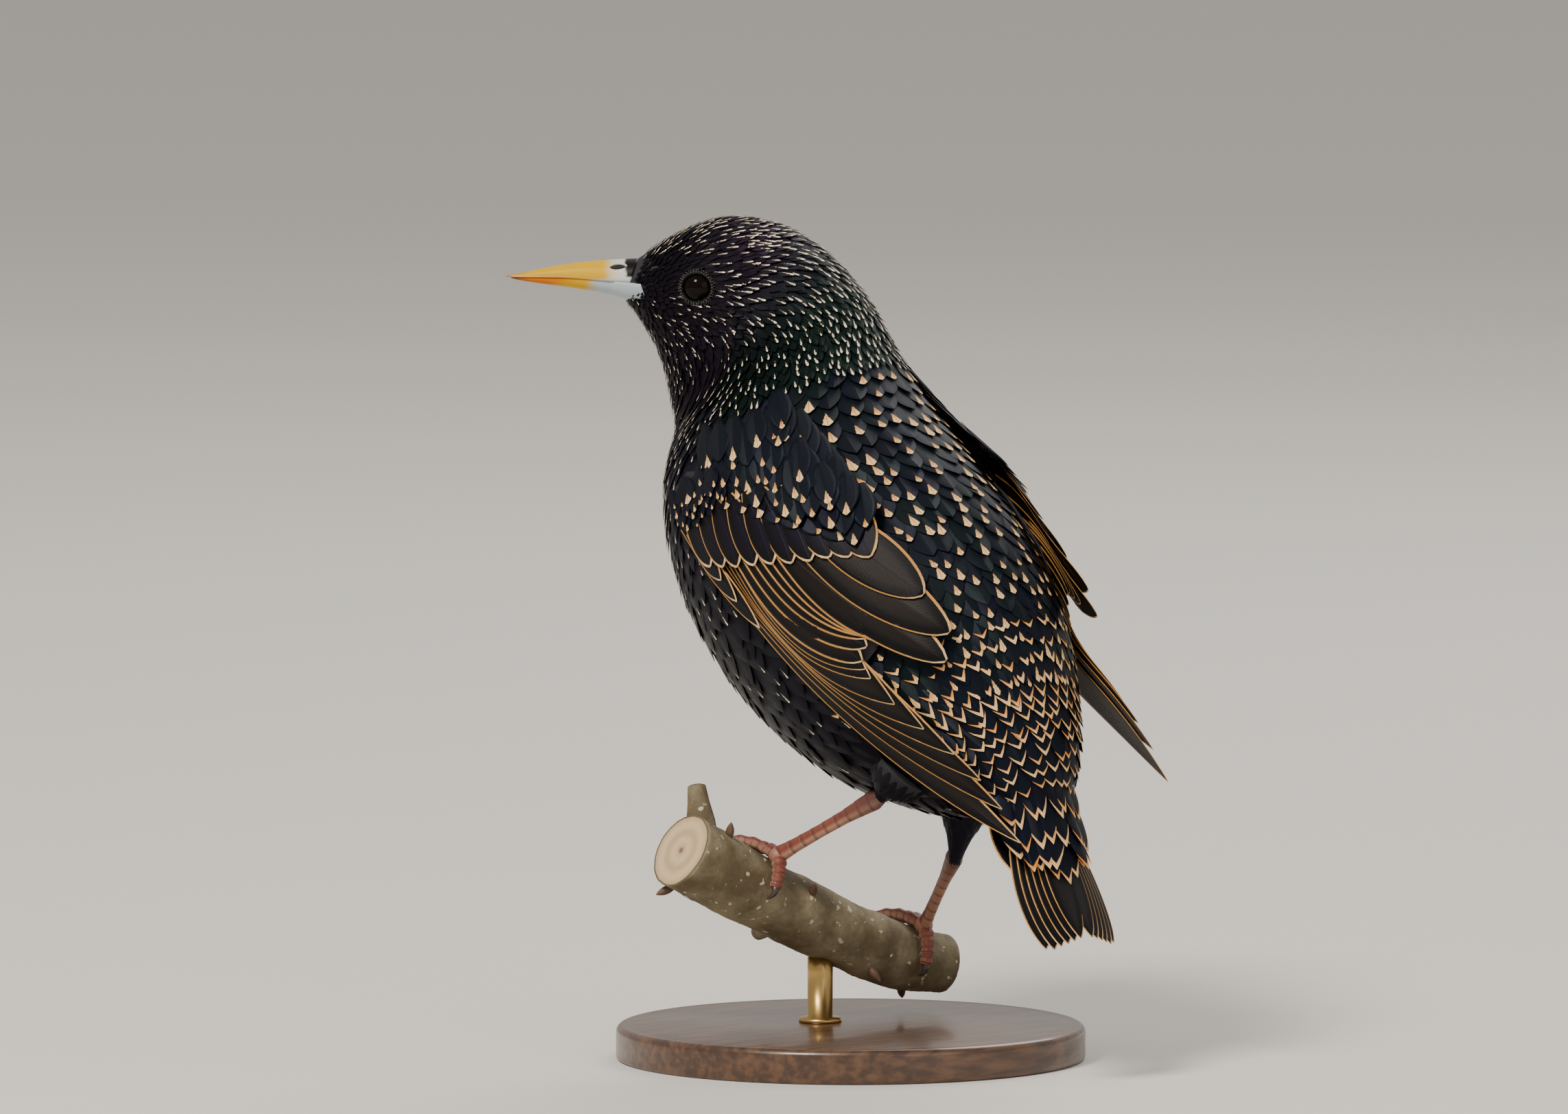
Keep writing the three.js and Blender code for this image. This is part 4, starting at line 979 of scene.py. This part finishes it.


# Bill: a straight pointed bill, flatter toward the tip, yellow with an orange flush, a dusky
# tip and a pale blue-grey base to the lower half; the slit nostril lies under a pale lid, its
# opening a near-black ball of painted shade.
def bill_look(s):
    ahead, above, _ = s.attribute("bill", "Vector").parts()
    cloud = s.noise(260.0, 3.0, s.place())
    colour = (cloud * 0.5).mix((0.62, 0.35, 0.0), (0.66, 0.42, 0.0))
    middle_flush = (ahead - 34.0).ramp(0.0, 6.0) * (1.3 - (above + 0.3).abs()).ramp(0.0, 1.4)
    flush = middle_flush.most((ahead - 37.0).ramp(0.0, 5.0) * (0.3 - above).ramp(0.0, 0.4))
    colour = (flush * 0.9).mix(colour, (0.60, 0.13, 0.0))
    edge = (0.28 - (above - 0.25).abs()).ramp(0.0, 0.2) * (ahead - 29.0).ramp(0.0, 3.0)
    colour = (edge * 0.55).mix(colour, (0.90, 0.52, 0.16))
    pale_from = (above.ramp(-0.2, 0.9) * -4.0 + 32.6) + (cloud - 0.5) * 3.0
    grey = above.ramp(-0.4, 0.6).mix((0.40, 0.47, 0.50), (0.60, 0.60, 0.54))
    under_feathers = (26.1 + (cloud - 0.5) * 3.0 - ahead).ramp(0.0, 0.8) * (above - 0.9).ramp(0.0, 0.6)
    grey = under_feathers.mix(grey, (0.006, 0.005, 0.006))
    colour = (pale_from - ahead).ramp(-1.8, 1.8).mix(colour, grey)
    below, ridge = (0.25 - above).ramp(0.0, 0.3), (above - 1.0).ramp(-0.6, 0.4)
    dusk = (ahead - 44.5).ramp(0.0, 4.5) * (below * 0.75 + ridge * 0.7 + 0.12)
    colour = dusk.mix(colour, (0.10, 0.075, 0.06))
    colour = ((ahead - 48.2).ramp(0.0, 1.4) * 0.7).mix(colour, (0.16, 0.13, 0.12))
    return {"Base_Color": colour, "Roughness": 0.34 + cloud * 0.12, "Normal": s.bump(cloud, 0.12, 0.0002)}


bill_material = material("bill", bill_look, Specular_IOR_Level=0.12)
nostril_shade_material = material("nostril_shade", Base_Color=(0.01, 0.007, 0.006, 1), Roughness=0.8)
MOUTH_ROOT, MOUTH_TIP = 146.3, 147.25


def head_point(ahead, out, height):
    ahead, out, height = (np.asarray(v, float)[..., None] for v in np.broadcast_arrays(ahead, out, height))
    return head_middle + forward * ahead + left * out + skyward * height


def mandible(upper):
    """Half of the bill as arches from feathers to tip, with each point's place for its colours."""
    share = np.linspace(0, 1, 60)[:, None]
    angle = np.linspace(0, np.pi, 25)[None]
    root, tip = (24.6, 49.9) if upper else (22.4, 49.0)
    base = np.clip(1 - share * 4.4, 0, 1)
    slim = (1 - share) ** 0.8 * 0.97 + 0.03
    ahead = root + (tip - root) * share
    mouth = MOUTH_ROOT + (MOUTH_TIP - MOUTH_ROOT) * share ** 0.9 + 0.35 * np.sin(share * np.pi) ** 2
    if upper:
        rise = 4.7 * ((1 - share ** 1.3) * 0.94 + 0.06)
        half, high, gap = 4.35 * slim, np.sin(angle) ** 0.8, 0.05
        lean = 0.38 * (1 - share) * 4.7
    else:
        rise = -3.7 * ((1 - share) ** 0.8 * 0.96 + 0.04 + 0.5 * base)
        half, high, gap = 4.3 * slim + 2.3 * base, np.sin(angle) ** 0.9, -0.05
        lean = 1.9 * base
    x, z, back = np.cos(angle) * half, mouth + gap + rise * high, ahead - lean * high
    return head_point(back, x, z), np.stack(np.broadcast_arrays(back, z - mouth, x), -1)


for name, upper in (("bill_upper", True), ("bill_lower", False)):
    points, note = mandible(upper)
    piece = add_tubes(f"{name}_horn", [points], bill_material, [name])
    fill_attribute(piece, "bill", note)
NOSTRIL_AHEAD, NOSTRIL_OUT, NOSTRIL_UP = 27.0, 3.1, 149.5
lean = np.linspace(-0.2, math.pi + 0.3, 20)
lid_radii = 0.30 * np.sin(np.linspace(0.25, 2.9, len(lean))) ** 0.5
for name, sign in SIDES:
    axes = np.array([forward * 1.55 - skyward * 0.12, left * 0.42, skyward * 0.46 - left * sign * 0.15])
    centre = head_point(NOSTRIL_AHEAD, NOSTRIL_OUT * sign, NOSTRIL_UP)
    # The nostril's opening is a near-black ball: painted shade inside the slit.
    add_tubes(f"nostril_{name}", [ball(centre, axes, 12)], nostril_shade_material)
    over = NOSTRIL_UP + 0.05 + 0.72 * np.sin(lean)
    line = head_point(NOSTRIL_AHEAD + 1.7 * np.cos(lean), NOSTRIL_OUT * sign, over)
    rings = tube_points(line, lid_radii, 8)
    piece = add_tubes(f"nostril_lid_{name}", [rings], bill_material)
    fill_attribute(piece, "bill", np.broadcast_to([26.0, 1.5, 0.0], rings.shape))


# Legs: bare shins and toes of red-brown skin with scutes in front, held on the branch; the soles
# and joints paler, each toe ending in a dark curved claw. Each shin darkens toward its thigh with
# painted shade from the belly and thigh.
def leg_look(s):
    seam, sole, upper = s.attribute("leg", "Vector").parts()
    cloud = s.noise(420.0, 3.0, s.place())
    ridge = (seam * FULL_TURN).sin() * 0.5 + 0.5
    red = cloud.mix((0.13, 0.026, 0.018), (0.27, 0.075, 0.045))
    pale = cloud.mix((0.52, 0.32, 0.22), (0.38, 0.17, 0.11))
    colour = ((sole * 1.4).least(1.0) * 0.9).mix(red, pale)
    # Painted shade: the shin's top darkens toward the thigh, where the belly and thigh shade it.
    colour = (upper * 0.75).mix(colour, (0.045, 0.016, 0.018))
    groove = (0.16 - ridge).ramp(0.0, 0.16)
    return {"Base_Color": (groove * 0.5).mix(colour, (0.08, 0.03, 0.025)), "Roughness": 0.42 + cloud * 0.15,
            "Normal": s.bump(ridge.ramp(0.0, 0.35) + cloud * 0.3, 0.6, 0.0002)}


leg_material = material("leg_skin", leg_look)
claw_material = material("claw", clouded(300.0, 2.0, (0.02, 0.015, 0.013), (0.07, 0.05, 0.04)),
                         Roughness=0.32)
FOOT_DEGREES, SCUTES, SHIN_SIDES, TOE_SIDES, CLAW_SIDES = -38, 9, 24, 18, 12
# A toe: how far it leads sideways, where round the branch it starts, its share of the foot's reach
# (backward if below 0) and its radius.
TOES = [("front", 0.6, -36, 1.0, 1.45), ("inner", -6.5, -34, 0.66, 1.35), ("outer", 7.0, -34, 0.68, 1.3),
        ("hind", 0.4, -44, -0.72, 1.6)]


def toe_path(leg, shift, start, long, share):
    """Where round the branch a toe runs: its x and its degrees at each share of its length."""
    degrees = start + long * leg["reach"] * share + (4 if long < 0 else 36 * long * share)
    return leg["x"] + np.sign(leg["x"]) * shift * share, degrees


for leg in LEGS:
    side = leg["side"]
    share = np.linspace(0.0, 1.0, 90)
    turn = np.linspace(0, FULL_TURN, SHIN_SIDES, endpoint=False)
    radii = np.interp(share, [0, 0.06, 0.14, 0.35, 0.6, 0.85, 1], [1.5, 1.95, 1.75, 1.3, 1.2, 1.3, 1.6])
    scute = np.clip(np.cos(turn), 0, 1) * ((share * SCUTES % 1.0)[:, None] ** 0.5 - 0.4)
    radii = radii[:, None] * (1 + 0.07 * scute) * (1 + 0.10 * np.cos(2 * turn))
    joint = perch_point(leg["x"], FOOT_DEGREES, leg["lift"] + 0.4)
    shin = tube_points(mixed(leg["ankle"], joint, share), radii, SHIN_SIDES)
    piece = add_tubes(f"shin_{side}", [shin], leg_material, [f"tarsus_{side}"])
    # The third note is painted shade on the shin, strongest at the thigh and gone before the shin's middle.
    sole, painted_thigh_shade = np.clip(-np.cos(turn) * 1.3 - 0.1, 0, 1), np.clip(1 - share * 2.2, 0, 1)
    note = np.broadcast_arrays(share[:, None] * SCUTES, sole, painted_thigh_shade[:, None])
    fill_attribute(piece, "leg", np.stack(note, -1))
    tubes, notes, claws = [], [], []
    for name, shift, start, long, radius in TOES:
        share = np.linspace(-0.04, 0.9, 64)
        where = toe_path(leg, shift, start, long, share)
        joints = 0.20 * np.cos(share * FULL_TURN * (3.2 if long > 0.9 else 2.4)) ** 2
        thick = radius * (1.0 - 0.30 * np.clip(share, 0, 1)) * (0.88 + joints)
        line = perch_point(*where, radius * (1 - 0.28 * share) + 0.15)
        tube = tube_points(line, thick, TOE_SIDES, (1, 0, 0))
        tubes.append(tube)
        outward = unit(line - perch_point(*where, -3))
        upness = (unit(tube - line[:, None]) * outward[:, None]).sum(-1)
        rings = 12 if abs(long) > 0.9 else 9
        note = np.broadcast_arrays(share[:, None] * rings, np.clip(0.25 - upness, 0, 1), 0.0)
        notes.append(np.stack(note, -1).reshape(-1, 3))
        local = np.linspace(0, 1, 26)
        thick = radius * 0.56 * (1 - local) ** 0.7 + 0.07
        arch = 1.1 * np.sin(local * np.pi * 0.9) - 0.5 * local
        line = perch_point(*toe_path(leg, shift, start, long, 0.84 + 0.40 * local), thick + 0.3 + arch)
        claws.append((name, tube_points(line, thick, CLAW_SIDES, (1, 0, 0))))
    pad = ball(perch_point(leg["x"], FOOT_DEGREES, 1.9), 1.9, 14)
    notes.append(np.broadcast_to([0.25, 0.4, 0.0], pad.shape).reshape(-1, 3))
    piece = add_tubes(f"toes_{side}", tubes + [pad], leg_material, [f"foot_{side}"])
    fill_attribute(piece, "leg", np.concatenate(notes))
    for name, rings in claws:
        add_tubes(f"talon_{side}_{name}", [rings], claw_material, [f"claw_{side}_{name}"])


# Perch: a short cut length of hedge branch, its bark olive-tan with pale pores, the ends sawn
# clean, with stubs of two cut side twigs and a few dormant buds.
def bark_look(s):
    place = s.place()
    fine, broad = s.noise(900.0, 5.0, place), s.noise(120.0, 4.0, place)
    pores = (s.noise(520.0, 1.0, place) - 0.66).ramp(0.0, 0.06)
    colour = broad.ramp(0.35, 0.65).mix((0.13, 0.095, 0.045), (0.33, 0.28, 0.17))
    colour = (fine * 0.6).mix(colour, (0.085, 0.062, 0.035))
    return {"Base_Color": pores.mix(colour, (0.52, 0.46, 0.33)), "Roughness": 0.72 + fine * 0.2,
            "Normal": s.bump(fine * 0.7 + pores + broad, 0.6, 0.0004)}


def cut_look(s):
    far = s.attribute("cut")
    grain = s.noise(700.0, 3.0, s.place())
    rings = (far * 14.0 + grain * 1.4).sin() * 0.5 + 0.5
    wood = (rings * 0.7).mix((0.62, 0.47, 0.28), (0.44, 0.30, 0.16))
    wood = (far - 0.93).ramp(0.0, 0.04).mix(wood, (0.12, 0.09, 0.05))
    return {"Base_Color": (0.12 - far).ramp(0.0, 0.08).mix(wood, (0.20, 0.13, 0.07)),
            "Roughness": 0.8 + grain * 0.1, "Normal": s.bump(grain, 0.3, 0.0002)}


bark_material, cut_material = material("bark", bark_look), material("cut_wood", cut_look)
bud_material = material("bud", clouded(600.0, 2.0, (0.06, 0.025, 0.02), (0.17, 0.10, 0.055)), Roughness=0.6)
BRANCH_ROWS, BRANCH_SIDES, CUT_RINGS = 90, 48, 9
KNOTS = (-9, 10, 31)
# A stub runs from one place on the branch to another (x, degrees, height), with two radii. A bud
# stands at x and degrees and leans toward or away from the thick end.
STUBS = (((32, 15, -5), (35, 22, 8), 2.4, 1.9), ((9, 112, -5), (6.5, 108, 6.5), 2.1, 1.6))
BUDS = ((31, -35, 1), (-9, 35, 1), (-9, -140, -1), (10, -60, 1), (-22, 150, -1), (33.5, 150, 1))
x = np.linspace(-28.9, 36.9, BRANCH_ROWS)[:, None]
degrees = np.linspace(0, 360, BRANCH_SIDES, endpoint=False)
turn = np.radians(degrees)
wave = 0.22 * np.sin(x * 0.33 + 1.2 * np.sin(turn)) + 0.14 * np.sin(3 * turn + x * 0.11)
knots = sum(0.5 * np.exp(-((x - at) / 1.6) ** 2) for at in KNOTS)
rough = rng.normal(0, 0.035, (BRANCH_ROWS, BRANCH_SIDES))
branch = perch_point(x, degrees, -0.25 + wave * 0.6 + knots * 0.5 + rough)
pieces, ends = [branch], [branch[0], branch[-1][::-1]]
share = np.linspace(0, 1, 24)
for start, stop, wide, thin in STUBS:
    radii = np.interp(share, [0, 0.45, 0.75, 1], [wide * 1.35, wide * 1.25, wide * 0.95, thin])
    pieces.append(tube_points(mixed(perch_point(*start), perch_point(*stop), share), radii, 24))
    ends.append(pieces[-1][-1])
add_tubes("branch", pieces, bark_material, ["perch"])
BRANCH_MIDDLE = np.array([4.0, -7.0, 28.0])
far = np.linspace(1, 0.01, CUT_RINGS)
points, faces, notes, start = [], [], [], 0
for ring in ends:
    middle = ring.mean(0)
    away = unit(np.cross(ring[1] - ring[0], ring[0] - middle))
    away = away * (-1 if away @ (middle - BRANCH_MIDDLE) < 0 else 1)
    points.append((middle + (ring - middle) * far[:, None, None] + away * 0.06).reshape(-1, 3))
    notes.append(np.repeat(far, len(ring)))
    faces += grid_faces(CUT_RINGS, len(ring), start, wrap=True).tolist()
    start += CUT_RINGS * len(ring)
piece = joined_mesh("cut_ends", np.concatenate(points), faces, cut_material)
fill_attribute(piece, "cut", np.concatenate(notes), "FLOAT", "value")
share = np.linspace(0, 1, 12)
bud_radii = 0.9 * np.sin(np.pi * (0.25 + 0.74 * share)) ** 0.8
buds = []
for at, degrees, lean in BUDS:
    root, top = perch_point(at, degrees, -0.4), perch_point(at + 1.8 * lean, degrees, 2.6)
    buds.append(tube_points(mixed(root, top, share), bud_radii, 10))
add_tubes("buds", buds, bud_material)


# Stand: a round turned base of dark varnished wood with rounded edges, and a short brass rod with
# a foot up to the branch.
def wood_look(s):
    x, y, z = s.place().parts()
    stretched = s.of(s.node("ShaderNodeCombineXYZ", X=x, Y=y * 9.0, Z=z * 9.0).outputs[0])
    grain, fine = s.noise(60.0, 6.0, stretched), s.noise(400.0, 3.0, stretched)
    colour = grain.ramp(0.35, 0.7).mix((0.055, 0.024, 0.012), (0.15, 0.070, 0.032))
    return {"Base_Color": (fine * 0.4).mix(colour, (0.03, 0.014, 0.008)), "Roughness": 0.30 + fine * 0.12,
            "Normal": s.bump(grain + fine * 0.3, 0.12, 0.0003)}


def brass_look(s):
    return {"Roughness": 0.28 + s.noise(500.0, 3.0, s.place()) * 0.12}


wood_material = material("base_wood", wood_look, Coat_Weight=0.4, Coat_Roughness=0.15)
brass_material = material("rod_brass", brass_look, Base_Color=(0.55, 0.36, 0.13, 1), Metallic=1.0)
BASE_RADIUS, BASE_HEIGHT, FOOT_ROUND, TOP_ROUND, CENTRE = 48.0, 7.0, 0.8, 1.4, 0.01
profile = [(CENTRE, 0)]
for a in np.linspace(0, math.pi / 2, 6):
    profile.append((BASE_RADIUS - FOOT_ROUND * (1 - math.sin(a)), FOOT_ROUND * (1 - math.cos(a))))
for a in np.linspace(0, math.pi / 2, 8):
    profile.append((BASE_RADIUS - TOP_ROUND * (1 - math.cos(a)), BASE_HEIGHT - TOP_ROUND * (1 - math.sin(a))))
profile += [(45.2, 6.85), (44.6, BASE_HEIGHT), (CENTRE, BASE_HEIGHT)]
turn = np.linspace(0, FULL_TURN, 128, endpoint=False)
radius, height = np.array(profile).T[..., None]
rings = np.stack(np.broadcast_arrays(radius * np.cos(turn), radius * np.sin(turn), height), -1)
add_tubes("base", [rings], wood_material, ["stand_base"])
ROD_X, ROD_Y, ROD_RADIUS = 2.0, -7.0, 2.6
rod_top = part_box("stand_rod")[1][2] / MM
rod_line = [(ROD_X, ROD_Y, z) for z in (7.0, 7.05, 8.0, 8.05, rod_top - 3, rod_top)]
rod_rings = tube_points(rod_line, [4.2, 4.4, 4.2, ROD_RADIUS, ROD_RADIUS, ROD_RADIUS], 40, (0, 1, 0))
add_tubes("rod", [rod_rings], brass_material, ["stand_rod"])

# Floor, light and camera: a pale studio floor, soft light and a long lens from behind the bird's
# left side, a little above it.
FLOOR_HALF = 30
floor_mesh = bpy.data.meshes.new("floor")
corners = [(-1, -1), (1, -1), (1, 1), (-1, 1)]
floor_mesh.from_pydata([(x * FLOOR_HALF, y * FLOOR_HALF, 0) for x, y in corners], [], [(0, 1, 2, 3)])
floor = bpy.data.objects.new("floor", floor_mesh)
bpy.context.collection.objects.link(floor)
floor_mesh.materials.append(material("floor", Base_Color=(0.72, 0.70, 0.66, 1), Roughness=0.8))
AZIMUTH, ELEVATION = math.radians(137), math.radians(5)
CAMERA_AWAY = 3.55
level_way = Vector((math.sin(AZIMUTH), -math.cos(AZIMUTH), 0))
toward = level_way * math.cos(ELEVATION) + Vector((0, 0, math.sin(ELEVATION)))
right = Vector((math.cos(AZIMUTH), math.sin(AZIMUTH), 0))
target = Vector((0, 0, 0.09)) + right * -0.01365 + toward.cross(right) * 0.0128
camera_data = bpy.data.cameras.new("camera")
camera_data.lens, camera_data.sensor_width = 399.5, 36.0
camera_data.clip_end = 60
camera = bpy.data.objects.new("camera", camera_data)
camera.location = target + toward * CAMERA_AWAY
camera.rotation_euler = toward.to_track_quat("Z", "Y").to_euler()
bpy.context.collection.objects.link(camera)
bpy.context.scene.camera = camera


def lamp(name, place, size, power, colour):
    """A square soft light that faces the bird's middle."""
    data = bpy.data.lights.new(name, "AREA")
    data.shape, data.size, data.energy, data.color = "SQUARE", size, power, colour
    made = bpy.data.objects.new(name, data)
    made.location = place
    made.rotation_euler = (place - Vector((0, 0, 0.1))).to_track_quat("Z", "Y").to_euler()
    bpy.context.collection.objects.link(made)


lamp("key", toward * 1.1 - right * 0.7 + Vector((0, 0, 1.4)), 0.45, 36, (1.0, 0.94, 0.86))
lamp("fill", toward * 1.4 + right * 1.2 + Vector((0, 0, 0.6)), 1.2, 5, (0.9, 0.95, 1.0))
lamp("back", -toward * 1.2 + right * 0.5 + Vector((0, 0, 1.4)), 0.9, 12, (1.0, 0.98, 0.95))
world = bpy.data.worlds.new("world")
world.use_nodes = True
background = world.node_tree.nodes["Background"]
background.inputs["Color"].default_value = (0.86, 0.82, 0.76, 1)
background.inputs["Strength"].default_value = 0.6
bpy.context.scene.world = world
